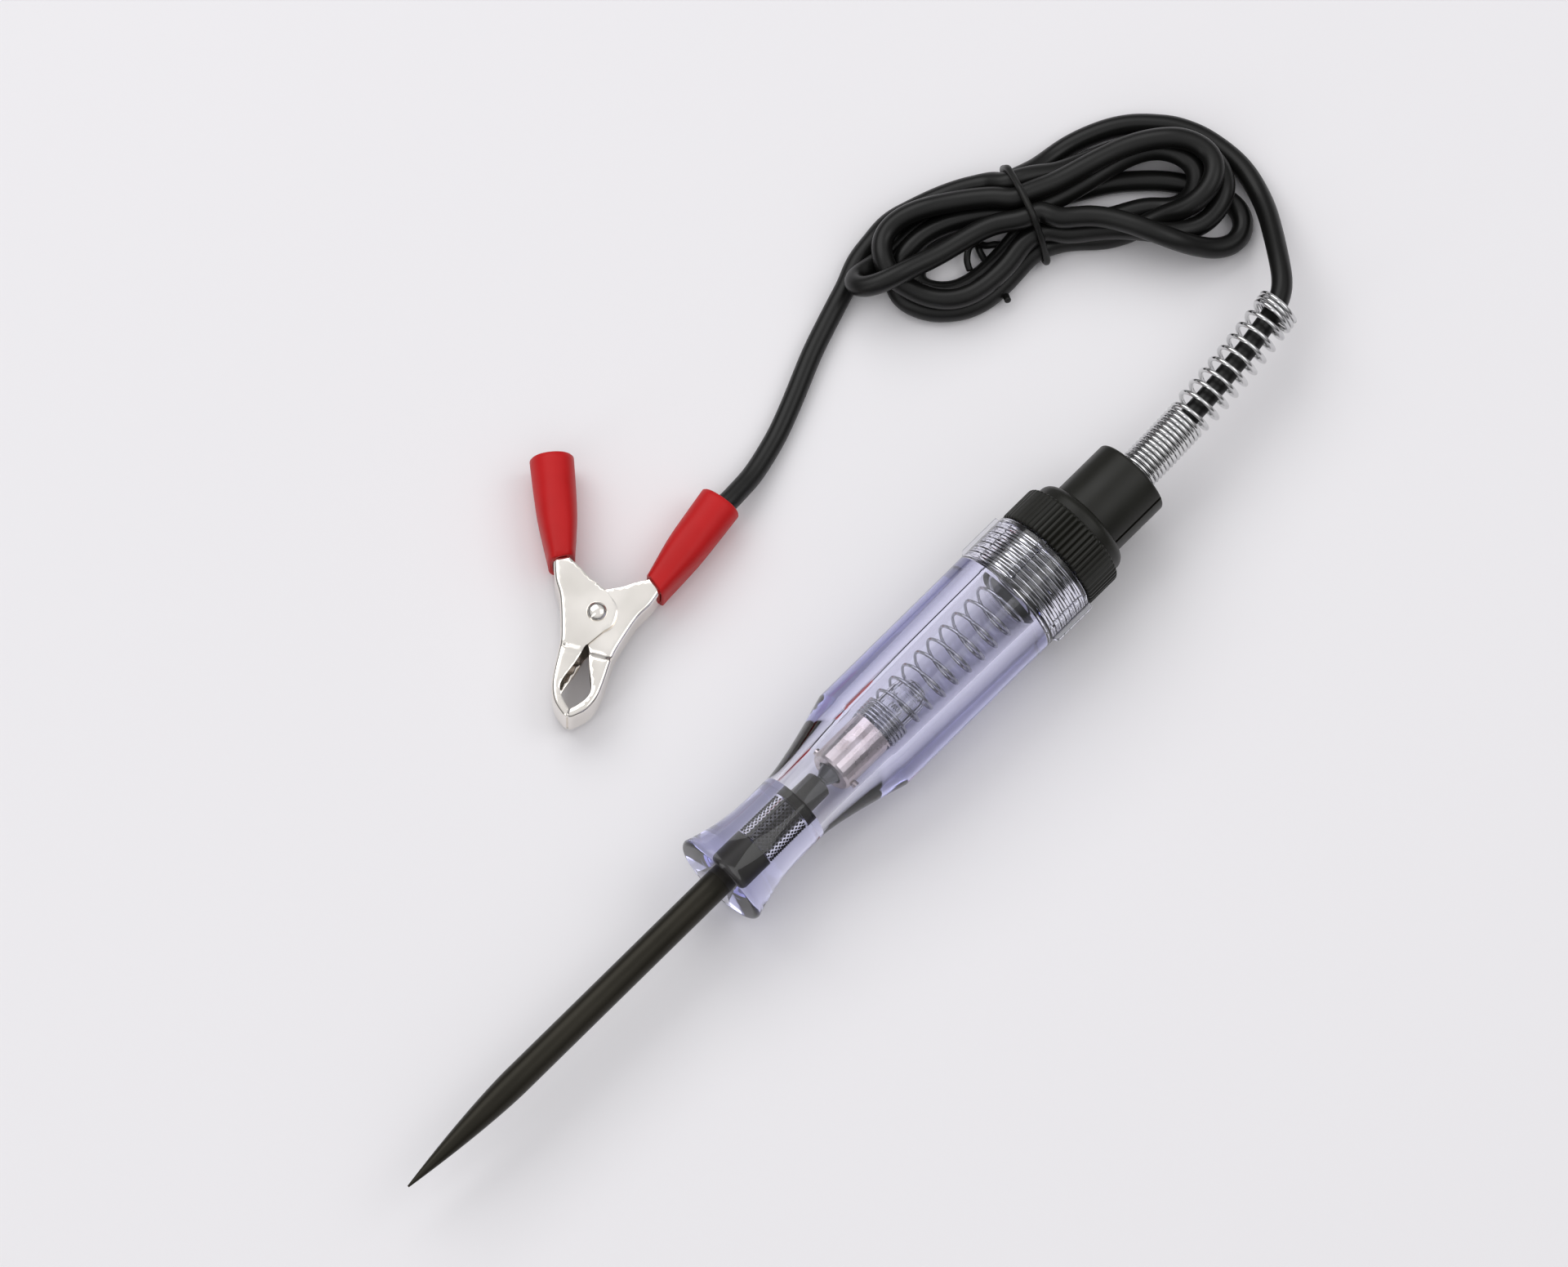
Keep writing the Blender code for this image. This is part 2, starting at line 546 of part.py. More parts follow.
def make_lamp():
    """A bayonet lamp: contact, glass seal, shell with two pins, and a glass envelope."""
    seal_front = LAMP_FRONT + LAMP_CONTACT_LENGTH
    seal_hole = LAMP_SEAL_RADIUS + GAP
    turned("bulb_contact", [(0.0, seal_front - GAP / 2), (LAMP_CONTACT_RADIUS, seal_front - GAP / 2),
                            (LAMP_CONTACT_RADIUS * 0.6, LAMP_FRONT), (0.0, LAMP_FRONT)],
           SOLDER, 20)
    seal_rear = LAMP_BASE_FRONT + LAMP_BASE_WALL * 3
    turned("bulb_insulator", [(0.0, seal_rear), (LAMP_SEAL_RADIUS, seal_rear),
                              (LAMP_SEAL_RADIUS, LAMP_BASE_FRONT), (LAMP_NOSE_RADIUS, seal_front + GAP / 2),
                              (0.0, seal_front + GAP / 2)],
           DARK_GLASS, 24)
    outer, inner = LAMP_BASE_RADIUS, LAMP_BASE_RADIUS - LAMP_BASE_WALL
    edge = LAMP_BASE_WALL
    shell = turned("bulb_base", [(outer, LAMP_BASE_REAR), (outer, LAMP_BASE_FRONT + edge),
                                 (outer - edge, LAMP_BASE_FRONT), (seal_hole, LAMP_BASE_FRONT),
                                 (seal_hole, LAMP_BASE_FRONT + LAMP_BASE_WALL),
                                 (inner - edge / 2, LAMP_BASE_FRONT + LAMP_BASE_WALL),
                                 (inner, LAMP_BASE_FRONT + 2 * edge), (inner, LAMP_BASE_REAR)],
                   NICKEL, 32, closed=True)
    for side in (-1, 1):
        pin_length = LAMP_BASE_WALL / 2 + LAMP_PIN_REACH
        bpy.ops.mesh.primitive_cylinder_add(vertices=12, radius=LAMP_PIN_RADIUS, depth=pin_length)
        pin = bpy.context.object
        pin.name = f"bayonet_pin_{side}"
        for owner in list(pin.users_collection):
            owner.objects.unlink(pin)
        CUTTERS.objects.link(pin)
        pin.hide_render = True
        pin.display_type = "WIRE"
        pin.rotation_euler = (pi / 2, 0.0, 0.0)
        pin.location = (TIP_X + LAMP_BASE_FRONT + LAMP_PIN_STATION,
                        side * (outer - LAMP_BASE_WALL / 2 + pin_length / 2), AXIS_HEIGHT)
        boolean(shell, pin, "UNION")
    make_glass()
    make_filament(seal_rear + GAP)


def make_glass():
    """The envelope, open where it sinks into the shell."""
    rear = LAMP_BASE_REAR + GLASS_LENGTH
    front = LAMP_BASE_REAR - GLASS_SINK
    dome_steps = 5
    outer = [(GLASS_RADIUS * sin(pi / 2 * index / dome_steps),
              rear - GLASS_RADIUS * (1 - cos(pi / 2 * index / dome_steps)))
             for index in range(dome_steps + 1)]
    inner_radius = GLASS_RADIUS - GLASS_WALL
    inner = [(inner_radius * sin(pi / 2 * index / dome_steps),
              rear - GLASS_WALL - inner_radius * (1 - cos(pi / 2 * index / dome_steps)))
             for index in range(dome_steps, -1, -1)]
    turned("bulb_glass", outer + [(GLASS_RADIUS, front), (inner_radius, front)] + inner, LAMP_GLASS, 24)


def make_filament(start):
    """Two support wires and the coil between their ends, as one wire."""
    reach = LAMP_BASE_REAR + GLASS_LENGTH * 0.5
    coil_radius = FILAMENT_RADIUS * 2.6
    path = [(start, FILAMENT_SPREAD * 0.6, 0.0), (LAMP_BASE_REAR, FILAMENT_SPREAD * 0.8, 0.0)]
    turns = FILAMENT_COILS * 10
    for index in range(turns + 1):
        angle = tau * index / 10
        side = FILAMENT_SPREAD * (1 - 2 * index / turns)
        path.append((reach - coil_radius * cos(angle), side, coil_radius * sin(angle)))
    path += [(LAMP_BASE_REAR, -FILAMENT_SPREAD * 0.8, 0.0), (start, -FILAMENT_SPREAD * 0.6, 0.0)]
    wire("bulb_filament", [on_tool(*point) for point in path], FILAMENT_RADIUS, TUNGSTEN)


def on_tool(station, side, rise):
    """World place of a point given from the tool's tip and axis."""
    return (TIP_X + station, side, AXIS_HEIGHT + rise)


def on_surface(station, side, height):
    """World place of a point given from the tool's tip and the surface below."""
    return (TIP_X + station, side, height)


def coil(sections, radius_at):
    """Points of a helix about the tool's axis: sections are (turns, pitch) in order."""
    points = []
    travelled = 0.0
    turned_by = 0.0
    for turns, pitch in sections:
        count = round(turns * COIL_POINTS_PER_TURN)
        for index in range(count):
            share = index / count
            points.append((travelled + turns * pitch * share, turned_by + turns * share))
        travelled += turns * pitch
        turned_by += turns
    points.append((travelled, turned_by))
    return [(reach, radius_at(reach), tau * turn) for reach, turn in points]


def make_contact_spring():
    """The spring that holds the lamp on the probe's tail and feeds it from the terminal."""
    first = LAMP_BASE_REAR + GAP + CONTACT_WIRE / 2
    last = TERMINAL_REAR - TERMINAL_THICKNESS - GAP - CONTACT_WIRE / 2
    closed_length = (CONTACT_CLOSE_TURNS + CONTACT_END_TURNS) * CONTACT_CLOSE_PITCH
    open_pitch = (last - first - closed_length) / CONTACT_OPEN_TURNS

    def radius_at(reach):
        growth = (CONTACT_REAR_RADIUS - CONTACT_FRONT_RADIUS) / (last - first)
        return CONTACT_FRONT_RADIUS + growth * reach

    sections = [(CONTACT_CLOSE_TURNS, CONTACT_CLOSE_PITCH), (CONTACT_OPEN_TURNS, open_pitch),
                (CONTACT_END_TURNS, CONTACT_CLOSE_PITCH)]
    points = [on_tool(first + reach, radius * cos(angle), radius * sin(angle))
              for reach, radius, angle in coil(sections, radius_at)]
    wire("contact_spring", points, CONTACT_WIRE / 2, ZINC)


def drift(station):
    """Sideways place of the relief spring and the lead in it, which bend together."""
    reach = max(station - CAP_REAR, 0.0) / (RELIEF_END - CAP_REAR)
    return RELIEF_SIDE_DRIFT * reach ** 2


def make_relief_spring():
    closed_length = RELIEF_CLOSE_TURNS * RELIEF_CLOSE_PITCH

    def radius_at(reach):
        opened = min(max((reach - closed_length) / RELIEF_OPEN_PITCH, 0.0), 1.0)
        return RELIEF_RADIUS + (RELIEF_OPEN_RADIUS - RELIEF_RADIUS) * opened

    sections = [(RELIEF_CLOSE_TURNS, RELIEF_CLOSE_PITCH), (RELIEF_OPEN_TURNS, RELIEF_OPEN_PITCH),
                (RELIEF_END_TURNS, RELIEF_CLOSE_PITCH)]
    points = []
    for reach, radius, angle in coil(sections, radius_at):
        station = RELIEF_START + reach
        points.append(on_tool(station, drift(station) + radius * cos(angle), radius * sin(angle)))
    wire("relief_spring", points, RELIEF_WIRE / 2, ZINC)


def make_terminal():
    front = TERMINAL_REAR - TERMINAL_THICKNESS
    barrel_end = TERMINAL_REAR + TERMINAL_BARREL_LENGTH
    turned("cable_terminal", [(0.0, barrel_end), (TERMINAL_BARREL_RADIUS, barrel_end),
                              (TERMINAL_BARREL_RADIUS, TERMINAL_REAR), (TERMINAL_RADIUS, TERMINAL_REAR),
                              (TERMINAL_RADIUS, front), (0.0, front)],
           NICKEL, 28)
    return barrel_end


def lead_route(start):
    """The lead from the terminal, through the neck and the spring, down to the hank."""
    steps = 6
    stations = [CAP_REAR + (RELIEF_END - CAP_REAR) * index / steps for index in range(steps + 1)]
    points = [on_tool(start, 0.0, 0.0)]
    points += [on_tool(station, drift(station), 0.0) for station in stations]
    points += [on_surface(*point) for point in LEAD_BEND]
    return points


def clip_point(across, along, rise=0.0):
    """World place of a point given in the clip's own frame."""
    return (TIP_X + CLIP_STATION + across * cos(CLIP_ANGLE) - along * sin(CLIP_ANGLE),
            CLIP_SIDE + across * sin(CLIP_ANGLE) + along * cos(CLIP_ANGLE),
            CLIP_HEIGHT + rise)


def arm_line(along):
    """How far the middle of an arm lies across the clip at a place along it."""
    return CLIP_ARM_END[0] + ARM_SLOPE * (along - CLIP_ARM_END[1])


def tail_route():
    """The lead from the hank to the fixed sleeve, where it is bared and held."""
    mouth = CLIP_ARM_END[1] + SLEEVE_OVERHANG
    points = [on_surface(*point) for point in TAIL_START]
    for along, shift in ((mouth - GAP, TAIL_MOUTH_SHIFT), (JACKET_END, 0.0)):
        points.append(clip_point(arm_line(along) + shift, along))
    return points


def cord_tube(name, route, radius, collection=None):
    per_span = 6
    dense = smooth_path(route, per_span)
    kept = [dense[0]]
    for point in dense[1:-1]:
        if (point - kept[-1]).length >= CORD_POINT_SPACING and (point - dense[-1]).length > CORD_RADIUS:
            kept.append(point)
    kept.append(dense[-1])
    return wire(name, kept, radius, CABLE_BLACK, resolution=2, collection=collection)


def at_tie(along, across):
    return (TIE_STATION + along * cos(TIE_ANGLE) - across * sin(TIE_ANGLE),
            TIE_SIDE + along * sin(TIE_ANGLE) + across * cos(TIE_ANGLE))


def make_cords(lead_start):
    lead, tail = lead_route(lead_start), tail_route()
    cord_tube("cord_lead", lead, CORD_RADIUS)
    cord_tube("cord_tail", tail, CORD_RADIUS)
    knots = [at_tie(-TIE_FLAT, TIE_HALF_WIDTH), at_tie(TIE_FLAT, TIE_HALF_WIDTH)]
    knots += HANK_RIGHT_LOBE
    knots += [at_tie(TIE_FLAT, -TIE_HALF_WIDTH), at_tie(-TIE_FLAT, -TIE_HALF_WIDTH)]
    knots += HANK_LEFT_LOBE
    outline = smooth_path(knots, 2, closed=True)
    hank = plate("cord_hank", outline, HANK_THICKNESS, CABLE_BLACK, rounding=HANK_EDGE_ROUNDING)
    hank.location = (TIP_X, 0.0, HANK_BOTTOM + HANK_THICKNESS / 2)
    for route, name, end in ((lead, "lead_seat", -1), (tail, "tail_seat", 0)):
        near = Vector(route[end])
        away = near - Vector(route[end + (1 if end == 0 else -1)])
        seat_route = list(route)
        seat_route[end] = near + away.normalized() * GAP
        seat = as_mesh(cord_tube(name, seat_route, CORD_RADIUS + GAP, CUTTERS), CUTTERS)
        boolean(hank, seat, "DIFFERENCE")


def make_tie():
    """One twist tie wound once round the hank, with both ends laid along the top."""
    reach = TIE_HALF_WIDTH + GAP + TIE_WIRE_RADIUS
    low = TIE_WIRE_RADIUS
    high = HANK_BOTTOM + HANK_THICKNESS + GAP + TIE_WIRE_RADIUS
    corner = TIE_CORNER
    spacing = 2 * TIE_WIRE_RADIUS + GAP
    tail = -TIE_TAIL_LENGTH
    path = [(tail, -0.0022, high), (tail * 0.45, -0.0016, high), (-0.0008, -0.0002, high),
            (0.0, 0.002, high), (0.0, reach - corner, high)]
    path += [(0.0, reach - corner + corner * sin(turn), high - corner + corner * cos(turn))
             for turn in (pi / 6, pi / 3, pi / 2)]
    path += [(0.0, reach - corner + corner * cos(turn), low + corner - corner * sin(turn))
             for turn in (0.0, pi / 6, pi / 3, pi / 2)]
    path += [(-spacing, corner - reach - corner * sin(turn), low + corner - corner * cos(turn))
             for turn in (0.0, pi / 6, pi / 3, pi / 2)]
    path += [(-spacing, corner - reach - corner * cos(turn), high - corner + corner * sin(turn))
             for turn in (0.0, pi / 6, pi / 3, pi / 2)]
    path += [(-spacing - 0.0008, -0.0050, high), (tail * 0.6, -0.0044, high), (tail * 0.95, -0.0052, high)]
    points = []
    for along, across, height in path:
        station, side = at_tie(along, across)
        points.append((TIP_X + station, side, height))
    wire("twist_tie", points, TIE_WIRE_RADIUS, CABLE_BLACK)


def offset_line(points, distance):
    """Shift an open 2-D line to the right of its direction of travel."""
    shifted = []
    for index, point in enumerate(points):
        ahead = points[min(index + 1, len(points) - 1)]
        behind = points[max(index - 1, 0)]
        run = (ahead[0] - behind[0], ahead[1] - behind[1])
        length = hypot(*run)
        shifted.append((point[0] + distance * run[1] / length, point[1] - distance * run[0] / length))
    return shifted


def clip_outer_edge():
    """Outer edge of one half, from the arm's end over the shoulder to the jaw's tip."""
    jaw, bulge = CLIP_JAW_LENGTH, CLIP_JAW_BULGE
    knots = [(CLIP_ARM_ROOT[0] + CLIP_ARM_ROOT_HALF_WIDTH, CLIP_ARM_ROOT[1]), CLIP_SHOULDER,
             (CLIP_EAR_RADIUS * 1.95, CLIP_EAR_RADIUS * 0.25), (CLIP_EAR_RADIUS * 1.42, -jaw * 0.27),
             (bulge * 1.03, -jaw * 0.42), (bulge, -jaw * 0.58), (bulge * 0.92, -jaw * 0.74),
             (bulge * 0.68, -jaw * 0.875), (bulge * 0.27, -jaw * 0.97), (CLIP_TIP_MEET, -jaw)]
    end = (CLIP_ARM_END[0] + CLIP_ARM_END_HALF_WIDTH, CLIP_ARM_END[1])
    return [end] + [tuple(point) for point in smooth_path(knots, 2)]


def clip_inner_edge():
    """Inner edge from the tip, over the lip and round the window, past the ear to the arm."""
    window = [(CLIP_TIP_MEET, CLIP_LIP_LENGTH - CLIP_JAW_LENGTH)] + CLIP_WINDOW
    edge = [tuple(point) for point in smooth_path(window, 2)]
    edge += arc((0.0, 0.0), CLIP_EAR_RADIUS, radians(-125), radians(-240), 8)
    edge += CLIP_EAR_EDGE
    edge += [(CLIP_ARM_ROOT[0] - CLIP_ARM_ROOT_HALF_WIDTH, CLIP_ARM_ROOT[1]),
             (CLIP_ARM_END[0] - CLIP_ARM_END_HALF_WIDTH, CLIP_ARM_END[1])]
    return edge


def clip_place(side, rise=0.0):
    """Matrix from the clip's own frame to the world, mirrored for the moving half."""
    origin = Vector(clip_point(0.0, 0.0, rise))
    return (Matrix.Translation(origin) @ Matrix.Rotation(CLIP_ANGLE, 4, "Z")
            @ Matrix.Diagonal((side, 1.0, 1.0, 1.0)))


def mirrored(points, side):
    return [(side * across, along) for across, along in points]


def set_place(made):
    made.location = clip_point(0.0, 0.0)
    made.rotation_euler = (0.0, 0.0, CLIP_ANGLE)
    return made


def make_clip_half(name, side, half_height):
    """A pressed channel: two flanges joined by a web along the outer edge, and a rivet hole."""
    outer = clip_outer_edge()
    half = plate(name, mirrored(outer + clip_inner_edge(), side), 2 * half_height, NICKEL)
    web_line = offset_line(outer, CLIP_SHEET)
    past_end = (web_line[0][0] + web_line[0][0] - web_line[1][0],
                web_line[0][1] + web_line[0][1] - web_line[1][1])
    far = -CLIP_EAR_RADIUS * 2
    pocket_outline = [past_end] + web_line + [(far, web_line[-1][1]), (far, past_end[1])]
    pocket = plate(f"{name}_pocket", mirrored(pocket_outline, side),
                   2 * (half_height - CLIP_SHEET), NICKEL, collection=CUTTERS)
    hole_radius = RIVET_RADIUS + RUNNING_GAP
    hole = plate(f"{name}_hole", arc((0.0, 0.0), hole_radius, 0.0, tau * 19 / 20, 19),
                 3 * half_height, NICKEL, collection=CUTTERS)
    for made in (half, pocket, hole):
        set_place(made)
    boolean(half, pocket, "DIFFERENCE")
    boolean(half, hole, "DIFFERENCE")


def make_rivet():
    """A tubular shaft through both halves with a low domed head on each side."""
    seat = CLIP_HALF_HEIGHT + GAP
    top = seat + RIVET_HEAD_HEIGHT
    profile = [(0.0, top)]
    profile += [(RIVET_HEAD_RADIUS * sin(turn), seat + RIVET_HEAD_HEIGHT * cos(turn))
                for turn in (radians(30), radians(60), radians(90))]
    profile += [(RIVET_RADIUS, seat), (RIVET_RADIUS, -seat)]
    profile += [(RIVET_HEAD_RADIUS * sin(turn), -seat - RIVET_HEAD_HEIGHT * cos(turn))
                for turn in (radians(90), radians(60), radians(30))]
    profile.append((0.0, -top))
    rivet = turned("clip_rivet", profile, NICKEL, 20)
    set_place(rivet)


def make_clip_spring():
    """A torsion spring on the rivet, with a leg against the web of each arm."""
    lean = atan2(CLIP_SHOULDER[1] * 1.6, CLIP_SHOULDER[0] * 0.86)
    turns = CLIP_SPRING_TURNS + 2 * lean / tau
    count = round(turns * COIL_POINTS_PER_TURN)
    drop = CLIP_SPRING_PITCH * turns / 2
    path = []
    for index in range(count + 1):
        share = index / count
        angle = lean - pi / 2 - tau * turns * share
        path.append((CLIP_SPRING_RADIUS * cos(angle), CLIP_SPRING_RADIUS * sin(angle),
                     drop * (2 * share - 1)))
    leg = CLIP_SHOULDER[0] * 0.8
    start_leg = (path[0][0] + leg * cos(lean), path[0][1] + leg * sin(lean), path[0][2])
    end_leg = (path[-1][0] - leg * cos(lean), path[-1][1] + leg * sin(lean), path[-1][2])
    path = [start_leg] + path + [end_leg]
    wire("clip_spring", [clip_point(*point) for point in path], CLIP_SPRING_WIRE / 2, ZINC)


def sleeve_ring(centre, lean, half_width, half_height, corner, slant):
    """A section with round corners across the arm, slanted back on its outer side."""
    steps = SLEEVE_SIDES // 4 - 1
    ring = []
    for quarter, (right, up) in enumerate(((1, 1), (-1, 1), (-1, -1), (1, -1))):
        middle = (right * (half_width - corner), up * (half_height - corner))
        start = quarter * pi / 2
        for wide, tall in arc(middle, corner, start, start + pi / 2, steps):
            back = slant * (wide + half_width)
            ring.append((centre[0] + wide * cos(lean) - back * sin(lean),
                         centre[1] - wide * sin(lean) - back * cos(lean), tall))
    return ring


def make_sleeve(name, side, half_height):
    """A soft tapering sleeve on an arm, open at both ends."""
    run = (CLIP_ARM_END[0] - CLIP_ARM_ROOT[0], CLIP_ARM_END[1] - CLIP_ARM_ROOT[1])
    arm_length = hypot(*run)
    lean = atan2(run[0], run[1])
    rings = []
    steps = 4
    reaches = [(arm_length + GAP) * index / steps for index in range(steps + 1)]
    for reach in reaches + [arm_length + SLEEVE_OVERHANG]:
        share = reach / (arm_length + SLEEVE_OVERHANG)
        centre = (CLIP_ARM_ROOT[0] + reach * sin(lean), CLIP_ARM_ROOT[1] + reach * cos(lean))
        grown = min(reach / arm_length, 1.0)
        half_width = (CLIP_ARM_ROOT_HALF_WIDTH + GAP + SLEEVE_WALL + SLEEVE_FLARE * share ** 2
                      + (CLIP_ARM_END_HALF_WIDTH - CLIP_ARM_ROOT_HALF_WIDTH) * grown)
        corner = SLEEVE_ROOT_CORNER + (SLEEVE_END_CORNER - SLEEVE_ROOT_CORNER) * grown
        if reach > arm_length + GAP:
            corner = SLEEVE_MOUTH_CORNER
        slant = SLEEVE_ROOT_SLANT * (1 - grown) ** 2
        ring = sleeve_ring(centre, lean, half_width, half_height, corner, slant)
        rings.append([(side * across, along, rise) for across, along, rise in ring])
    sleeve = set_place(ring_loft(name, rings, SLEEVE_RED, capped=False))
    shell = sleeve.modifiers.new("wall", "SOLIDIFY")
    shell.thickness = SLEEVE_WALL
    shell.offset = -1.0
    shell.use_even_offset = True


def make_conductor():
    """Bared strands from the end of the lead's jacket, held in the fixed arm."""
    ends = []
    for along in (JACKET_END - GAP, JACKET_END - CONDUCTOR_LENGTH):
        ends.append(clip_point(arm_line(along), along))
    wire("cord_conductor", ends, CONDUCTOR_RADIUS, COPPER, resolution=2)


def make_clip():
    make_clip_half("clip_jaw_moving", -1, CLIP_HALF_HEIGHT)
    make_clip_half("clip_jaw_fixed", 1, FIXED_HALF_HEIGHT)
    make_rivet()
    make_clip_spring()
    make_sleeve("clip_sleeve_moving", -1, SLEEVE_HALF_HEIGHT)
    make_sleeve("clip_sleeve_fixed", 1, FIXED_HALF_HEIGHT + GAP + SLEEVE_WALL)
    make_conductor()


make_probe()
make_handle()
make_cap()
make_lamp()
make_contact_spring()
make_relief_spring()
make_cords(make_terminal() + GAP)
make_tie()
make_clip()
bpy.context.view_layer.update()
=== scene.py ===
"""Looks of the automotive circuit tester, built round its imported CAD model."""

from math import atan2, cos, floor, hypot, pi, radians, sin, tau

import bmesh
import bpy
import numpy as np
from mathutils import Matrix, Vector
from mathutils.geometry import convex_hull_2d, delaunay_2d_cdt


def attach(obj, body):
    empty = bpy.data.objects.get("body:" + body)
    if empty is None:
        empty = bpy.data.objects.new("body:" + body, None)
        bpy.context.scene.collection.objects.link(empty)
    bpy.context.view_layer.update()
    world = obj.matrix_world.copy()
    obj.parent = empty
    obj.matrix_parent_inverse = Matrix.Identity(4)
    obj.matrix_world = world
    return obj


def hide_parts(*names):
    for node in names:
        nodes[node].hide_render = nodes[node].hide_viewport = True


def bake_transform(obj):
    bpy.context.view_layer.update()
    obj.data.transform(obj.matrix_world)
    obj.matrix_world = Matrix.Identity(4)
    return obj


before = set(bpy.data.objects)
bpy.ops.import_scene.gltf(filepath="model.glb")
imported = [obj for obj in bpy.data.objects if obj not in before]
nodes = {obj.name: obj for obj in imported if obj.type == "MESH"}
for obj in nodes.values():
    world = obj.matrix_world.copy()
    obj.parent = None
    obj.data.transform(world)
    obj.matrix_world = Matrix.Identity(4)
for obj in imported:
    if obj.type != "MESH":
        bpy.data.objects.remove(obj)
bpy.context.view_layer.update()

# Camera, at the photo's angle
LOOK_AT = Vector((0.0106, 0.0278, 0.0))
TOWARDS_CAMERA = Vector((-0.2367, -0.2283, 0.9444)).normalized()
PICTURE_RIGHT = Vector((0.6943, -0.7197, 0.0)).normalized()
PICTURE_WIDTH = 0.2884
CAMERA_DISTANCE = 6.0
CAMERA_CLIP = (0.05, 60.0)
SENSOR = 36.0

# Lights: name, place, size, power. The world is darker near the horizon, so that metal has contrast.
LIGHTS = [
    ("key", (0.19, 0.78, 0.9), (1.1, 0.8), 4.3),
    ("fill", (0.49, -0.36, 0.8), (0.6, 0.5), 1.2),
    ("strip", (-0.55, 0.1, 0.5), (0.12, 0.9), 0.5),
]
WORLD_STEPS = [(0.0, 0.5), (0.12, 0.16), (0.3, 0.16), (0.5, 0.65), (0.8, 1.05), (1.0, 1.1)]
WORLD_LIGHT = 0.74
WORLD_BLUE = 1.01               # the world's blue against its red and green
FLOOR_TONES = ((0.885, 0.87, 0.893), (0.9, 0.885, 0.908))

NOISE_LOW, NOISE_HIGH = 0.3, 0.7        # most of the noise lies between these
FLOOR_SIZE = 6.0
LAMP_AIM = Vector((0.0, 0.02, 0.0))

# The tool's own frame: stations from the probe's tip, angles from straight down
TIP_X = -0.11697
AXIS_HEIGHT = 0.01235
EDGE_STEP = 0.0002              # the small step beside an edge of the handle and the cap
WIRE_CHAMFER = 0.3              # at a wire's ends, as a share of its radius

# Probe
PROBE_RADIUS = 0.00275
PROBE_TIP_RADIUS = 0.0002
PROBE_TAPER_LENGTH = 0.028
PROBE_REACH = 0.0815
PROBE_LENGTH = 0.1085
PROBE_POINT_SPACING = 1.6       # powers that crowd the rings towards the tip and crown the taper
PROBE_POINT_CROWN = 1.55
PROBE_TAIL_EDGE = 0.0003
KNURL_START = 0.09
KNURL_LENGTH = 0.0105
KNURL_DEPTH = 0.00035
KNURL_COUNT = 20
KNURL_PITCH = 0.0011
KNURL_FADE = 0.0004
KNURL_SUNK = 0.62               # share of the diamonds' height that the plastic grips
KNURL_ROWS = 76
HOLE_RADIUS = 0.00274           # the plastic is moulded tight round the shaft

# Handle
HANDLE_REAR = 0.1676
HANDLE_RADIUS = 0.01135
NOSE_RADIUS = 0.0097
NOSE_ROUNDING = 0.0009
NOSE_FLARE_LENGTH = 0.016
NOSE_SWELL = 2.2                # powers that shape the flare of the nose and of the shoulder
SHOULDER_SWELL = 1.3
WAIST_RADIUS = 0.0073
BORE_FLOOR = 0.102
SHOULDER_LENGTH = 0.0176
BORE_FRONT_RADIUS = 0.00565
BORE_REAR_RADIUS = 0.0064
COLLAR_START = 0.157
RIB_LENGTH = 0.0095
RIB_RADIUS = 0.01235
RIB_CORNER = 0.0009
RIB_HALF_ANGLE = radians(2.6)
RIB_FOOT = 1.12                 # of the rib's foot to its top, across
THREAD_PITCH = 0.0013
THREAD_START = 0.158646         # middle of the cap's first ridge at angle 0
THREAD_BORE_RADIUS = 0.0098
THREAD_DEPTH = 0.0006
THREAD_HALF_BASE = 0.42
THREAD_PLAIN_END = 0.0003
THREAD_FADE = 0.0007
THREAD_ROWS = 80
HANDLE_SIDES = 160

# Springs
CONTACT_FIRST = 0.1221
CONTACT_LAST = 0.1636
CONTACT_WIRE = 0.00062
CONTACT_SECTIONS = [(4.5, 0.00078), (11, 0.0), (1, 0.00078)]      # turns and pitch, 0 for what is left
CONTACT_RADII = (0.0044, 0.0051)
RELIEF_START = 0.188275
RELIEF_WIRE = 0.00088
RELIEF_SECTIONS = [(18, 0.00098), (9, 0.0028), (2.5, 0.00098)]
RELIEF_RADII = (0.0036, 0.00395)
RELIEF_BEND_START = 0.1911
RELIEF_END = 0.233565
RELIEF_SIDE_DRIFT = 0.0034
POINTS_PER_TURN = 28

# Cap, from the threaded spigot to the rear end of the neck
SPIGOT_FRONT = 0.1578
SPIGOT_FLOOR = 0.1653
SPIGOT_BORE_RADIUS = 0.006
THREAD_END = 0.167096
THREAD_ROOT_RADIUS = 0.0089
CAP_FACE = 0.1679
CAP_RING_RADIUS = 0.0113
CAP_RING_EDGE = 0.0007
CAP_KNURL_COUNT = 60
CAP_KNURL_DEPTH = 0.0004
CAP_KNURL_HALF_GROOVE = 0.3     # of a ridge's whole width
FLANGE_START = 0.1755
NECK_START = 0.1786
CAP_REAR = 0.1911
CAP_FLANGE_RADIUS = 0.01
CAP_FLANGE_ROUNDING = 0.0019
CAP_NECK_RADIUS = 0.0079
CAP_NECK_EDGE = 0.0006
CAP_SLIT_ANGLES = (69, 249)
CAP_SLIT_FLOOR = 0.0046
CAP_SLIT_WALL = 2.1             # degrees from a slit's middle to the foot and the lip of its wall
CAP_SLIT_LIP = 2.25
SOCKET_FLOOR = 0.1876
SOCKET_RADIUS = 0.004275
CORD_BORE_RADIUS = 0.002275

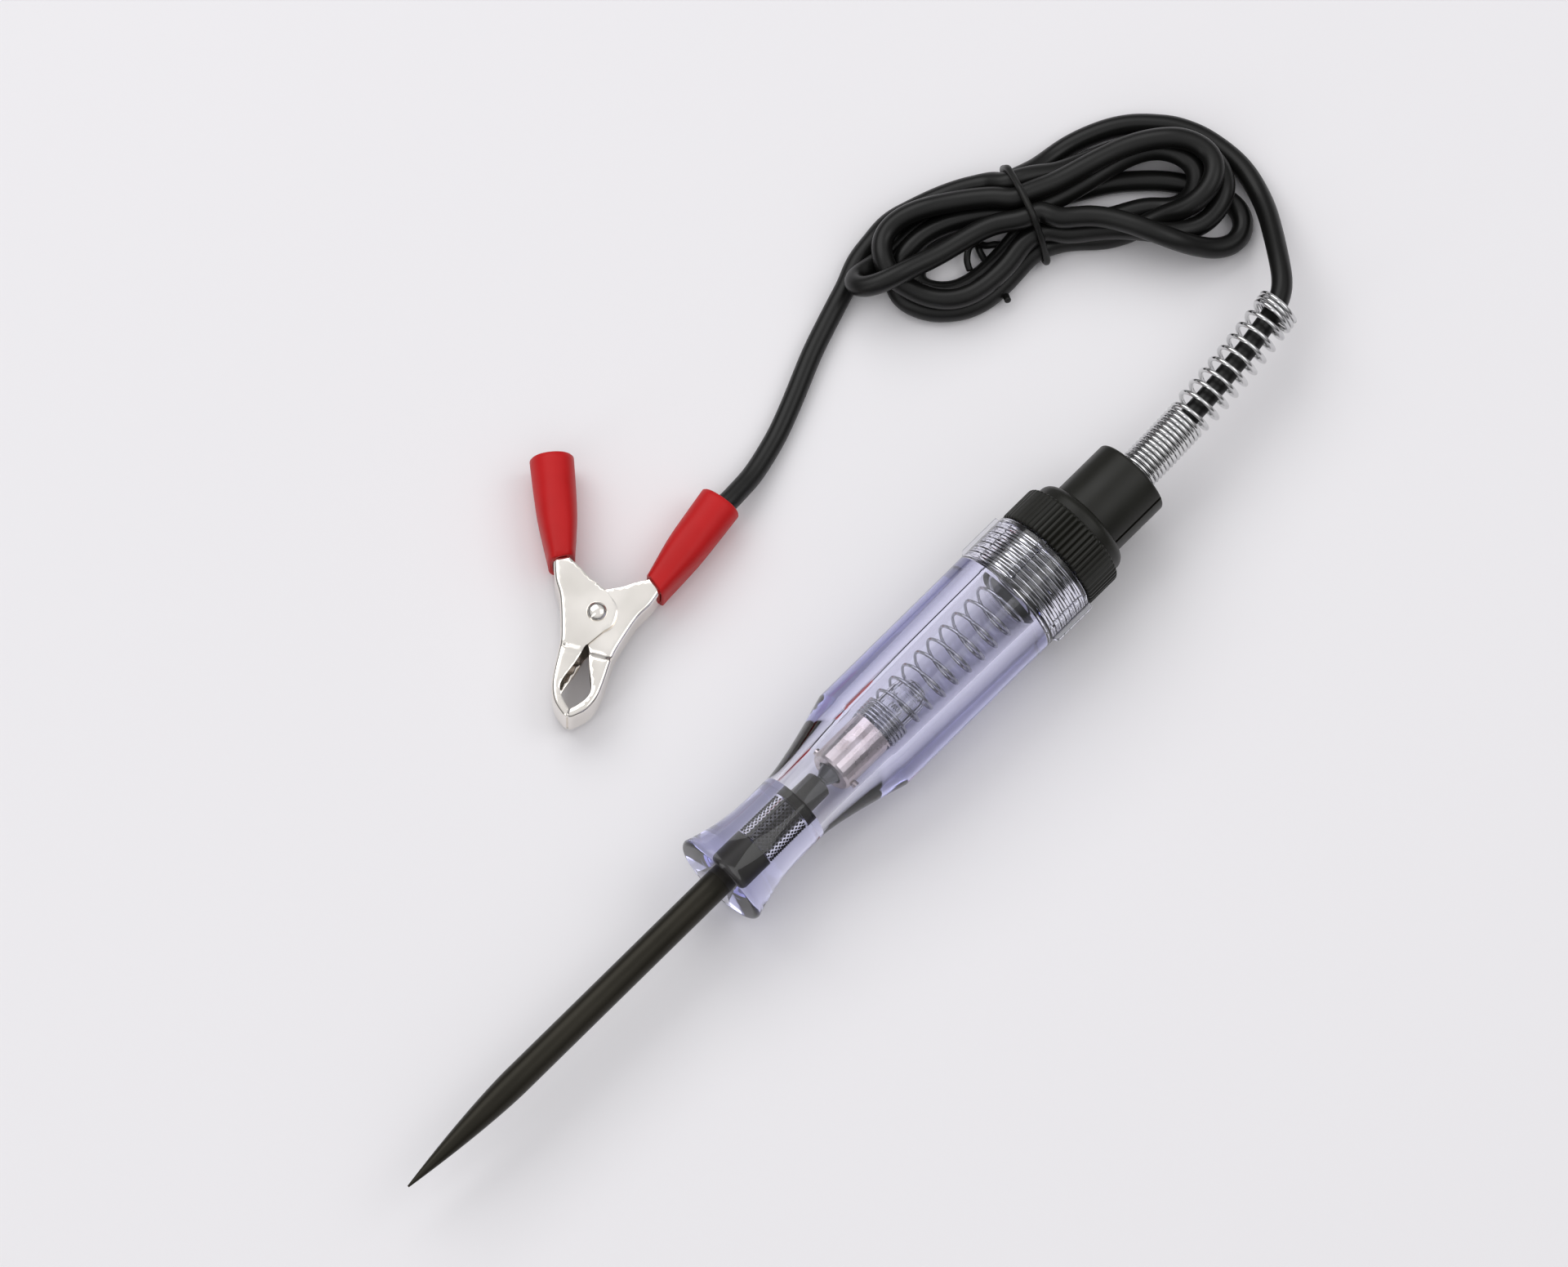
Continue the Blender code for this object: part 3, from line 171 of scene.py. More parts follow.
# Clip, in its own frame: +Y towards the handles, the rivet at the centre
CLIP_CENTRE = Vector((-0.01257, 0.0532, 0.0053))
CLIP_ANGLE = radians(-61)
CLIP_OUTER = [
    (0.0107, 0.0088), (0.0092, 0.0043), (0.00741, 0.00095), (0.0054, -0.0057), (0.005, -0.00886),
    (0.00485, -0.01224), (0.00446, -0.01561), (0.0033, -0.01846), (0.00131, -0.02047), (0.0002, -0.0211),
]
CLIP_ARM_OUTER_END = (0.0176, 0.025)
CLIP_WINDOW = [
    (0.0002, -0.0193), (0.00125, -0.0183), (0.00255, -0.0165), (0.00285, -0.0144), (0.0014, -0.0104),
    (0.0004, -0.0070),
]
CLIP_EAR_RADIUS = 0.0038
CLIP_EAR_EDGE = [(-0.0004, 0.0045), (0.0029, 0.0060), (0.0053, 0.0076), (0.0075, 0.0088), (0.0126, 0.025)]
CLIP_EAR_ARC = (radians(-125), radians(-240))
CLIP_TIP_MEET = 0.0002
CLIP_SHEET = 0.0006
CLIP_BEND = 0.0008
CLIP_MOVING_HALF_HEIGHT = 0.0042
CLIP_FIXED_HALF_HEIGHT = 0.0033
CLIP_JAW_HALF_HEIGHT = 0.0038
CLIP_CREASE = -0.0078
CLIP_CREASE_DEPTH = 0.00016
CLIP_CREASE_WIDTH = 0.00045
CLIP_LEVEL_RUN = 0.0009         # over which the jaws come level, beside the crease
CLIP_NARROW_START = 0.0085      # where the arms begin to narrow, how far that goes on, and by how much
CLIP_NARROW_RUN = 0.004
CLIP_NARROWED = 0.0008
CLIP_GRID = 0.0006              # of the points that the flat flanges are meshed through
CLIP_GRID_COLUMNS = range(-8, 32)
CLIP_GRID_ROWS = range(-36, 44)
CLIP_GRID_CLEAR = 0.45          # of a grid step, kept free beside the outline
CLIP_HALVES = [("moving", -1, CLIP_MOVING_HALF_HEIGHT, "clip_moving_half"),
               ("fixed", 1, CLIP_FIXED_HALF_HEIGHT, "cap_and_lead")]
RIVET_GAP = 0.00005
RIVET_HEADS = ((1, 0.0012), (-1, 0.0006))       # side and height
RIVET_HEAD_RADIUS = 0.0019
CLIP_SPRING_WIRE = 0.0009
CLIP_SPRING_RADIUS = 0.0021
CLIP_SPRING_TURNS = 3
CLIP_SPRING_PITCH = 0.0011
CLIP_SPRING_LEG = 0.00736
CLIP_SPRING_LEAN = atan2(0.0043 * 1.6, 0.0092 * 0.86)
CLIP_SPRING_BLEND = (-0.004, 0.001)     # across the clip
SLEEVE_ROOT = (0.0091, 0.0088)
SLEEVE_END = (0.0151, 0.0250)
SLEEVE_WIDTHS = [(0.0, 0.0025), (0.001, 0.0026), (0.003, 0.0029), (0.005, 0.0032), (0.0075, 0.00355),
                 (0.01, 0.00378), (0.0125, 0.0039), (0.015, 0.004), (0.0203, 0.00412)]  # reach, half width
SLEEVE_WALL = 0.0008
SLEEVE_LIP = 0.00025
SLEEVE_PAST_ARM = 0.003
SLEEVE_OVER_ARM = 0.0011
SLEEVE_LOWERED = 0.0004         # by the open end
SLEEVE_SQUARENESS = (3.4, 1.2, 1.4)     # power at the root, what it loses, and how fast
SLEEVE_SLANTS = {"moving": 0.14, "fixed": 0.36}
SLEEVE_SLANT_RUN = 0.012

# Twist tie round the bundle: its two ends along and across the bundle's run at the tie, and height
TIE_PLACE = Vector((0.09963, 0.0512))
TIE_ANGLE = radians(-21.4)
TIE_ALONG = -0.0004
TIE_WIRE = 0.0013
TIE_REACH = 0.012               # further strands aren't in the bundle
TIE_HALF_OPEN = radians(30)     # of the loop, below, where the ends cross under the bundle
TIE_CUT_END = [
    (-0.0101, -0.0132, 0.0027), (-0.0099, -0.0114, 0.0017), (-0.01, -0.008, 0.00075),
    (-0.0103, -0.0046, 0.001), (-0.0105, -0.0016, 0.001), (-0.0098, 0.0008, 0.00072),
    (-0.007, 0.0018, 0.00072), (-0.0036, 0.0024, 0.00072),
]
TIE_TWISTED_END = [
    (-0.0032, -0.004, 0.00072), (-0.007, -0.0018, 0.00075), (-0.009, -0.0012, 0.001),
    (-0.0107, -0.0004, 0.0023), (-0.0123, -0.0009, 0.0027), (-0.0136, -0.0028, 0.0026),
    (-0.0139, -0.0046, 0.0019),
]

# Route of the ground lead, in millimetres. A seen or hidden point is its place in the
# photo, across and down in pixels, and its height: a seen one keeps its place in the picture, a hidden one
# may give way. A pass through the tie is its place across the bundle, its height and the way it runs.
PHOTO_MIDDLE = (960, 775.5)
PHOTO_PIXEL = 0.15
LEAD_AT_REST = 2                        # height of a photo point that has none, which lies on the floor
LEAD_STATIONS = (180.2, 186, 191.1, 198, 205, 212, 219, 225)        # in the cap and the relief spring
LEAD_MOUTH_SIDE = 3.9                   # where it leaves the relief spring
LEAD_ROUTE = [
    ("seen", [(1572, 348, 11.9), (1569, 320, 10.6), (1562, 286, 8.2), (1553, 254, 6), (1542, 229, 4.2),
        (1527, 205, 3.8), (1505, 184, 3.2), (1475, 164, 2.8), (1439, 153, 2.5), (1399, 148, 2.3),
        (1359, 154, 2.3), (1318, 171, 2.6), (1297, 184, 2.8), (1276, 199, 3.1)]),
    ("tie", [(7.3, 4.6, -1)]),
    ("hidden", [(1215, 228, 3), (1177, 244, 2.3), (1146, 254), (1117, 270), (1098, 287), (1084, 304)]),
    ("seen", [(1069, 320, 2.2), (1056, 330, 3.2), (1048, 338, 5), (1047, 345, 7.2), (1055, 350, 9),
        (1068, 348, 10.2), (1090, 339, 11), (1117, 326, 11), (1146, 312, 10.8), (1171, 297, 10.6),
        (1194, 284, 10.4), (1219, 272, 10.2), (1240, 269, 10.2)]),
    ("tie", [(-2.3, 10.1, 1)]),
    ("seen", [(1286, 266, 10.3), (1308, 264, 10.4), (1329, 262, 10.6), (1355, 264, 10.8), (1384, 271, 10.8),
        (1405, 278, 10), (1427, 286, 8.4), (1449, 293, 6.8), (1471, 299, 5.4), (1492, 301, 4.4),
        (1510, 297, 3.6), (1521, 287, 3), (1525, 273, 2.5), (1523, 260, 2.1), (1514, 248)]),
    ("hidden", [(1499, 238), (1477, 229)]),
    ("seen", [(1455, 223), (1434, 219), (1410, 218), (1373, 220), (1347, 224, 2.1)]),
    ("hidden", [(1312, 234, 2.6)]),
    ("tie", [(2.4, 3.4, -1)]),
    ("hidden", [(1229, 263, 3), (1198, 269, 2.6), (1171, 277, 2.4), (1150, 286, 2.2)]),
    ("seen", [(1135, 297), (1126, 311)]),
    ("hidden", [(1115, 328), (1113, 343), (1125, 356), (1146, 360), (1173, 354), (1195, 341, 2.2),
        (1217, 326, 2.6), (1237, 308, 3)]),
    ("tie", [(-2.3, 3.4, 1)]),
    ("hidden", [(1300, 282, 2.6), (1330, 276), (1360, 272), (1390, 267, 2.2), (1416, 262, 2.8),
        (1438, 254, 4), (1456, 244, 5.2), (1468, 229, 5.9), (1471, 216, 6), (1468, 203, 6),
        (1458, 190, 6)]),
    ("seen", [(1442, 183, 5.9), (1421, 179, 5.8), (1399, 183, 5.8), (1377, 191, 5.8), (1347, 210, 6),
        (1323, 225, 6.3), (1297, 240, 6.6)]),
    ("tie", [(0, 6.55, -1)]),
    ("hidden", [(1229, 257, 6.4), (1198, 262, 6), (1167, 269, 5.8), (1144, 279, 5.6)]),
    ("seen", [(1125, 291, 5.2), (1113, 307, 4.4)]),
    ("hidden", [(1105, 324, 3.2), (1097, 340, 2.2)]),
    ("seen", [(1099, 355), (1112, 367), (1135, 377), (1162, 379), (1187, 375), (1212, 362, 2.2),
        (1233, 342, 2.6), (1250, 324, 3)]),
    ("tie", [(-6.8, 3.4, 1)]),
    ("seen", [(1297, 293, 2.9), (1323, 289, 2.4)]),
    ("hidden", [(1350, 286), (1378, 279, 2.2), (1400, 271, 4)]),
    ("seen", [(1427, 264, 6.6), (1447, 255, 8), (1464, 246, 8.8), (1479, 231, 9.3), (1487, 218, 9.4),
        (1490, 204, 9.4), (1487, 190, 9.4), (1475, 177, 9.4), (1459, 169, 9.4), (1442, 166, 9.4),
        (1412, 168, 9.4), (1382, 176, 9.4), (1351, 190, 9.6), (1318, 208, 9.8), (1288, 223, 10)]),
    ("tie", [(2.2, 9.9, -1)]),
    ("seen", [(1229, 236, 10), (1208, 240, 9.6), (1177, 244, 9.2), (1146, 249, 8.6), (1117, 258, 8),
        (1095, 272, 7.4), (1082, 289, 7), (1080, 306, 6.8), (1084, 322, 6.6), (1094, 336, 6.4),
        (1110, 348, 6), (1133, 360, 5.8), (1156, 365, 5.8), (1179, 362, 5.9), (1200, 352, 6),
        (1221, 335, 6.2), (1240, 317, 6.5)]),
    ("tie", [(-5, 7, 1)]),
    ("seen", [(1300, 285, 6.7), (1327, 281, 6.6)]),
    ("hidden", [(1355, 278, 6.5), (1385, 277, 6.5)]),
    ("seen", [(1410, 280, 6.4), (1432, 281, 6.2), (1453, 279, 6), (1471, 274, 6), (1486, 262, 6),
        (1497, 247, 6), (1502, 232, 6), (1501, 214, 6)]),
    ("hidden", [(1494, 197, 6), (1474, 181, 6), (1442, 172, 5.6), (1412, 172, 5.4), (1382, 179, 5.4),
        (1350, 190, 5.6)]),
    ("seen", [(1323, 198, 6.6), (1290, 210, 7.4)]),
    ("tie", [(5.9, 8.3, -1)]),
    ("seen", [(1227, 218, 6.5), (1208, 222, 6), (1177, 229, 5.4), (1146, 241, 4.9), (1117, 257, 4.4)]),
    ("hidden", [(1090, 278, 3.6)]),
    ("seen", [(1063, 309, 2.8), (1047, 332, 2.2), (1030, 361), (1015, 390), (994, 432), (974, 482)]),
]
LEAD_TAIL = [(155.5, 55.6, 2), (150.4, 54, 2.4), (145.2, 52.7, 3.2), (141, 52.1, 4.3)]  # station, side, rise
LEAD_IN_SLEEVE = [(0.0277, 0.0008), (0.02603, 0.0)]     # place along the clip, and off the sleeve's middle
TIE_STRAIGHT = 3.0                      # a strand runs straight this far on either side of the tie
LEAD_STEP = 1.4                         # between the points that are pushed apart
LEAD_HELD_SPAN = 0.35                   # of a span, held beside a held point
LEAD_ROUNDS = 2500
LEAD_RECOUNT = 20                       # rounds between two looks at which strands are near
LEAD_NEAR = 1.8                         # in diameters: near one another, kept apart, and too close along
LEAD_APART = 1.005                      # the lead to count
LEAD_SKIP = 1.27
LEAD_EVENING = 0.22                     # of the bends, and of the spacing, in a round
LEAD_SPACING = 0.12
LEAD_SETTLING = 0.002
LEAD_OFF_FLOOR = 0.02
PLACE_KEPT = {"seen": 0.03, "hidden": 0.008, "held": 0.0}
CORD_RADIUS = 0.001975


def picture_axes():
    """The picture's own right and up, as directions in the world."""
    up = TOWARDS_CAMERA.cross(PICTURE_RIGHT).normalized()
    return up.cross(TOWARDS_CAMERA).normalized(), up


def make_camera():
    data = bpy.data.cameras.new("camera")
    camera = bpy.data.objects.new("camera", data)
    bpy.context.scene.collection.objects.link(camera)
    data.sensor_width = SENSOR
    data.lens = SENSOR * CAMERA_DISTANCE / PICTURE_WIDTH
    data.clip_start, data.clip_end = CAMERA_CLIP
    turn = Matrix((*picture_axes(), TOWARDS_CAMERA)).transposed().to_4x4()
    camera.matrix_world = Matrix.Translation(LOOK_AT + TOWARDS_CAMERA * CAMERA_DISTANCE) @ turn
    bpy.context.scene.camera = camera


# Materials

def set_inputs(node, **values):
    """Set a node's inputs, whose names have an underscore here for each space."""
    for name, value in values.items():
        node.inputs[name.replace("_", " ")].default_value = value


def principled(name, colour, roughness, metallic=0.0):
    """A material, its node tree and its Principled shader."""
    made = bpy.data.materials.new(name)
    made.use_nodes = True
    tree = made.node_tree
    shader = tree.nodes["Principled BSDF"]
    set_inputs(shader, Base_Color=(*colour, 1.0), Roughness=roughness, Metallic=metallic)
    return made, tree, shader


def add_noise(tree, scale, detail=3.0, stretch=(1.0, 1.0, 1.0)):
    place = tree.nodes.new("ShaderNodeTexCoord")
    mapping = tree.nodes.new("ShaderNodeMapping")
    set_inputs(mapping, Scale=stretch)
    noise = tree.nodes.new("ShaderNodeTexNoise")
    set_inputs(noise, Scale=scale, Detail=detail)
    tree.links.new(place.outputs["Object"], mapping.inputs["Vector"])
    tree.links.new(mapping.outputs["Vector"], noise.inputs["Vector"])
    return noise.outputs["Fac"]


def vary(tree, factor, socket, low, high):
    """Drive a plain number socket between two values by a 0..1 factor."""
    spread = tree.nodes.new("ShaderNodeMapRange")
    set_inputs(spread, From_Min=NOISE_LOW, From_Max=NOISE_HIGH, To_Min=low, To_Max=high)
    tree.links.new(factor, spread.inputs["Value"])
    tree.links.new(spread.outputs["Result"], socket)


def tint(tree, factor, socket, first, second, low=0.35, high=0.65):
    ramp = tree.nodes.new("ShaderNodeValToRGB")
    ramp.color_ramp.elements[0].position = low
    ramp.color_ramp.elements[1].position = high
    ramp.color_ramp.elements[0].color = (*first, 1.0)
    ramp.color_ramp.elements[1].color = (*second, 1.0)
    tree.links.new(factor, ramp.inputs["Fac"])
    tree.links.new(ramp.outputs["Color"], socket)


def bump(tree, shader, height, strength, distance):
    node = tree.nodes.new("ShaderNodeBump")
    set_inputs(node, Strength=strength, Distance=distance)
    tree.links.new(height, node.inputs["Height"])
    tree.links.new(node.outputs["Normal"], shader.inputs["Normal"])


def clear_plastic():
    made, tree, shader = principled("clear violet plastic", (0.98, 0.98, 1.0), 0.02)
    set_inputs(shader, Transmission_Weight=1.0, IOR=1.49, Specular_IOR_Level=0.3)
    vary(tree, add_noise(tree, 90.0), shader.inputs["Roughness"], 0.0, 0.004)
    absorb = tree.nodes.new("ShaderNodeVolumeAbsorption")
    set_inputs(absorb, Color=(0.36, 0.37, 0.95, 1.0), Density=28.0)
    tree.links.new(absorb.outputs["Volume"], tree.nodes["Material Output"].inputs["Volume"])
    return made


def plain(name, first, second, low, high, metallic=0.0, scale=120.0, grain=0.0, stretch=(1.0, 1.0, 1.0),
          gloss=0.5):
    """A finish whose colour and roughness wander a little, with a fine grain if asked."""
    made, tree, shader = principled(name, first, low, metallic)
    set_inputs(shader, Specular_IOR_Level=gloss)
    noise = add_noise(tree, scale, stretch=stretch)
    tint(tree, noise, shader.inputs["Base Color"], first, second)
    vary(tree, noise, shader.inputs["Roughness"], low, high)
    if grain:
        bump(tree, shader, add_noise(tree, scale * 12, 5.0, stretch), 0.4, grain)
    return made


def glass():
    made, tree, shader = principled("lamp glass", (1.0, 1.0, 1.0), 0.0)
    set_inputs(shader, Transmission_Weight=1.0, IOR=1.5)
    vary(tree, add_noise(tree, 300.0), shader.inputs["Roughness"], 0.0, 0.02)
    return made


BLACK = plain("black plastic", (0.007, 0.007, 0.0045), (0.01, 0.01, 0.007), 0.36, 0.46, gloss=0.3)
OXIDE = plain("black oxide", (0.02, 0.018, 0.013), (0.03, 0.027, 0.02), 0.3, 0.38, metallic=0.5,
              scale=160.0, stretch=(0.3, 1.0, 1.0), gloss=0.2)
ZINC = plain("zinc wire", (0.6, 0.6, 0.61), (0.72, 0.72, 0.72), 0.1, 0.18, metallic=1.0)
SPRING_STEEL = plain("spring steel", (0.3, 0.3, 0.31), (0.42, 0.42, 0.43), 0.06, 0.1, metallic=1.0)
NICKEL = plain("nickel plate", (0.5, 0.43, 0.39), (0.72, 0.64, 0.6), 0.22, 0.36, metallic=1.0, scale=260.0)
CLIP_NICKEL = plain("clip nickel", (0.86, 0.82, 0.765), (0.92, 0.88, 0.83), 0.1, 0.17, metallic=1.0,
                    grain=0.000004)
PVC = plain("black cable", (0.0045, 0.0045, 0.0043), (0.007, 0.007, 0.0065), 0.32, 0.4, scale=60.0, gloss=0.3)
TIE = plain("tie coating", (0.006, 0.006, 0.006), (0.01, 0.01, 0.009), 0.34, 0.44, scale=200.0, gloss=0.3)
RED = plain("red sleeve", (0.5, 0.008, 0.009), (0.57, 0.011, 0.013), 0.4, 0.5, scale=80.0, gloss=0.22)
COPPER = plain("copper strand", (0.7, 0.33, 0.2), (0.85, 0.46, 0.3), 0.25, 0.4, metallic=1.0, scale=500.0)
SOLDER = plain("solder", (0.6, 0.6, 0.6), (0.75, 0.75, 0.74), 0.3, 0.45, metallic=1.0, scale=500.0)
TUNGSTEN = plain("tungsten", (0.35, 0.35, 0.36), (0.5, 0.5, 0.5), 0.3, 0.4, metallic=1.0, scale=900.0)
SEAL = plain("dark glass", (0.02, 0.02, 0.022), (0.035, 0.035, 0.038), 0.12, 0.2, scale=300.0)
CLEAR = clear_plastic()
GLASS = glass()

CAD_FINISHES = {
    "handle": CLEAR, "cap": BLACK, "probe": OXIDE, "relief_spring": ZINC, "contact_spring": SPRING_STEEL,
    "clip_spring": ZINC, "bulb_base": NICKEL, "cable_terminal": NICKEL, "bulb_glass": GLASS,
    "bulb_filament": TUNGSTEN, "bulb_contact": SOLDER, "bulb_insulator": SEAL,
    "clip_jaw_fixed": CLIP_NICKEL, "clip_jaw_moving": CLIP_NICKEL, "clip_rivet": CLIP_NICKEL,
    "clip_sleeve_fixed": RED, "clip_sleeve_moving": RED, "cord_conductor": COPPER,
    "twist_tie": TIE, "cord_lead": PVC, "cord_hank": PVC, "cord_tail": PVC,
}


def dress(made, finish):
    made.data.materials.clear()
    made.data.materials.append(finish)


# Shared shapes

def smooth_path(points, per_span):
    """A Catmull-Rom curve through the points, in any number of dimensions."""
    knots = [Vector(point) for point in points]
    result = []
    last = len(knots) - 1
    for span in range(last):
        start, end = knots[span], knots[span + 1]
        before = knots[span - 1] if span else start * 2 - end
        after = knots[span + 2] if span + 2 <= last else end * 2 - start
        for index in range(per_span):
            t = index / per_span
            result.append(0.5 * ((2 * start) + (end - before) * t
                                 + (2 * before - 5 * start + 4 * end - after) * t ** 2
                                 + (3 * start - before - 3 * end + after) * t ** 3))
    return result + [knots[-1]]


def on_tool(station, radius, angle):
    """World place of a point round the tool's axis, its angle counted from straight down."""
    return Vector((TIP_X + station, radius * sin(angle), AXIS_HEIGHT - radius * cos(angle)))


def skin(name, rings, closed=False, capped=False, sharp=35):
    """A mesh through rings of equal point counts: closed joins the last ring to the first."""
    sides = len(rings[0])
    count = len(rings)
    faces = []
    for row in range(count if closed else count - 1):
        low, high = row * sides, ((row + 1) % count) * sides
        for index in range(sides):
            nearby = (index + 1) % sides
            faces.append((low + index, low + nearby, high + nearby, high + index))
    if capped:
        faces.append(tuple(reversed(range(sides))))
        faces.append(tuple(range((count - 1) * sides, count * sides)))
    mesh = bpy.data.meshes.new(name)
    mesh.from_pydata([tuple(point) for ring in rings for point in ring], [], faces)
    work = bmesh.new()
    work.from_mesh(mesh)
    bmesh.ops.recalc_face_normals(work, faces=work.faces)
    work.to_mesh(mesh)
    work.free()
    mesh.shade_smooth()
    mesh.set_sharp_from_angle(angle=radians(sharp))
    return mesh


def tube(name, points, radius, sides=14):
    """A round wire along the points, with chamfered ends."""
    rings = []
    across = None
    last = len(points) - 1
    for index, point in enumerate(points):
        run = (points[min(index + 1, last)] - points[max(index - 1, 0)]).normalized()
        across = across or run.orthogonal()
        across = (across - run * across.dot(run)).normalized()
        upward = run.cross(across)
        ring = [(across * cos(tau * turn / sides) + upward * sin(tau * turn / sides)) * radius
                for turn in range(sides)]
        rings.append([point + out for out in ring])
        if index in (0, last):
            outwards = run * (radius * (WIRE_CHAMFER if index else -WIRE_CHAMFER))
            end = [point + outwards + out * (1 - WIRE_CHAMFER) for out in ring]
            rings.insert(len(rings) if index else 0, end)
    return skin(name, rings, capped=True, sharp=60)


def add_piece(name, mesh, finish, body, slot, *replaced):
    """An object that rides on a body, or is left where it is built when given two, and stands for CAD nodes.
    """
    made = bpy.data.objects.new(name, mesh)
    bpy.context.scene.collection.objects.link(made)
    mesh.materials.append(finish)
    if isinstance(body, str):
        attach(made, body)
    else:
        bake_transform(made)
    if replaced:
        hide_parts(*replaced)
    return made


def zigzag(value):
    """Rises from 0 to 1 and falls back over each whole step."""
    return 1 - abs(2 * (value - floor(value)) - 1)


def diamond(station, angle):
    """Height of the knurl's diamonds, 0 in the grooves and 1 on the points."""
    around = angle * KNURL_COUNT / tau
    along = (station - KNURL_START) / KNURL_PITCH
    from_end = min(station - KNURL_START, KNURL_START + KNURL_LENGTH - station)
    return min(zigzag(around + along), zigzag(around - along)) * min(max(from_end / KNURL_FADE, 0.0), 1.0)


def even(start, end, steps):
    return [start + (end - start) * index / steps for index in range(steps)]


# The handle and the probe

def thread_ridge(station, angle):
    """Height of the thread's ridge, 1 on its crest and 0 beside it."""
    phase = (station - THREAD_START) / THREAD_PITCH - angle / tau
    return max(0.0, 1 - abs(phase - round(phase)) / THREAD_HALF_BASE)


def thread_radius(station, angle):
    """The handle's inner thread, which follows the cap's ridges at the running clearance."""
    from_end = min(station - COLLAR_START, HANDLE_REAR - station)
    fade = min(max((from_end - THREAD_PLAIN_END) / THREAD_FADE, 0.0), 1.0)
    return THREAD_BORE_RADIUS - THREAD_DEPTH * (1 - thread_ridge(station, angle)) * fade


def handle_angles():
    """Even angles, with the ones beside each rib moved to its edges."""
    angles = []
    quarter = HANDLE_SIDES // 4
    for index in range(HANDLE_SIDES):
        offset = (index + quarter // 2) % quarter - quarter // 2
        centre = tau * (index - offset) / HANDLE_SIDES
        nudged = {0: 0.0, 1: RIB_HALF_ANGLE, 2: RIB_HALF_ANGLE * RIB_FOOT}.get(abs(offset))
        if nudged is None:
            angles.append((tau * index / HANDLE_SIDES, False))
        else:
            angles.append((centre + (nudged if offset > 0 else -nudged), abs(offset) < 2))
    return angles


def handle_rows():
    """Rows of (station, radius, rib radius, effect), down the outside and then up the inside."""
    rows = [(HANDLE_REAR, HANDLE_RADIUS - EDGE_STEP, RIB_RADIUS - EDGE_STEP, None)]
    rib_front = HANDLE_REAR - RIB_LENGTH
    for station in even(HANDLE_REAR - EDGE_STEP, rib_front + RIB_CORNER, 6):
        rows.append((station, HANDLE_RADIUS, RIB_RADIUS, None))
    for turn in even(0.0, pi / 2, 5):
        rows.append((rib_front + RIB_CORNER * (1 - sin(turn)), HANDLE_RADIUS,
                     RIB_RADIUS - RIB_CORNER * (1 - cos(turn)), None))
    rows.append((rib_front, HANDLE_RADIUS, HANDLE_RADIUS, None))
    shoulder = BORE_FLOOR + SHOULDER_LENGTH + EDGE_STEP
    outside = [(station, HANDLE_RADIUS) for station in even(rib_front - EDGE_STEP, shoulder, 8)]
    outside.append((shoulder, HANDLE_RADIUS))
    for share in even(1.0, 0.0, 20):
        outside.append((BORE_FLOOR + SHOULDER_LENGTH * share,
                        WAIST_RADIUS + (HANDLE_RADIUS - WAIST_RADIUS) * share ** SHOULDER_SWELL))
    nose_start = PROBE_REACH + NOSE_ROUNDING
    waist_front = PROBE_REACH + NOSE_FLARE_LENGTH
    outside += [(station, WAIST_RADIUS) for station in even(BORE_FLOOR, waist_front, 4)]
    for share in even(0.0, 1.0, 16):
        outside.append((waist_front + (nose_start - waist_front) * share,
                        WAIST_RADIUS + (NOSE_RADIUS - WAIST_RADIUS) * share ** NOSE_SWELL))
    for turn in even(0.0, pi / 2, 6):
        outside.append((nose_start - NOSE_ROUNDING * sin(turn),
                        NOSE_RADIUS - NOSE_ROUNDING * (1 - cos(turn))))
    outside.append((PROBE_REACH, NOSE_RADIUS - NOSE_ROUNDING))
    rows += [(station, radius, radius, None) for station, radius in outside]
    return rows + [(station, radius, radius, effect) for station, radius, effect in bore_rows()]


def bore_rows():
    """Rows of (station, radius, effect) up the inside: the shaft's hole, the lamp's bore, the thread."""
    knurl_end = KNURL_START + KNURL_LENGTH
    gripped = HOLE_RADIUS - KNURL_DEPTH * KNURL_SUNK
    rows = [(PROBE_REACH, HOLE_RADIUS, None), (KNURL_START, HOLE_RADIUS, None),
            (KNURL_START + THREAD_PLAIN_END, gripped, None), (knurl_end - THREAD_PLAIN_END, gripped, None),
            (knurl_end, HOLE_RADIUS, None), (BORE_FLOOR, HOLE_RADIUS, None)]
    for share in even(0.0, 1.0, 8):
        rows.append((BORE_FLOOR + (COLLAR_START - BORE_FLOOR) * share,
                     BORE_FRONT_RADIUS + (BORE_REAR_RADIUS - BORE_FRONT_RADIUS) * share, None))
    rows += [(COLLAR_START, BORE_REAR_RADIUS, None), (COLLAR_START, THREAD_BORE_RADIUS, None)]
    thread_end = HANDLE_REAR - THREAD_PLAIN_END
    rows += [(station, THREAD_BORE_RADIUS, "thread")
             for station in even(COLLAR_START + THREAD_PLAIN_END, thread_end, THREAD_ROWS)]
    return rows + [(thread_end, THREAD_BORE_RADIUS, None), (HANDLE_REAR, THREAD_BORE_RADIUS, None)]


def make_handle():
    angles = handle_angles()
    rings = []
    for station, radius, rib_radius, effect in handle_rows():
        ring = []
        for angle, on_rib in angles:
            reach = rib_radius if on_rib else radius
            if effect == "thread":
                reach = thread_radius(station, angle)
            ring.append(on_tool(station, reach, angle))
        rings.append(ring)
    mesh = skin("clear_handle", rings, closed=True)
    add_piece("clear_handle", mesh, CLEAR, "handle_and_probe", "clear_violet_plastic", "handle")


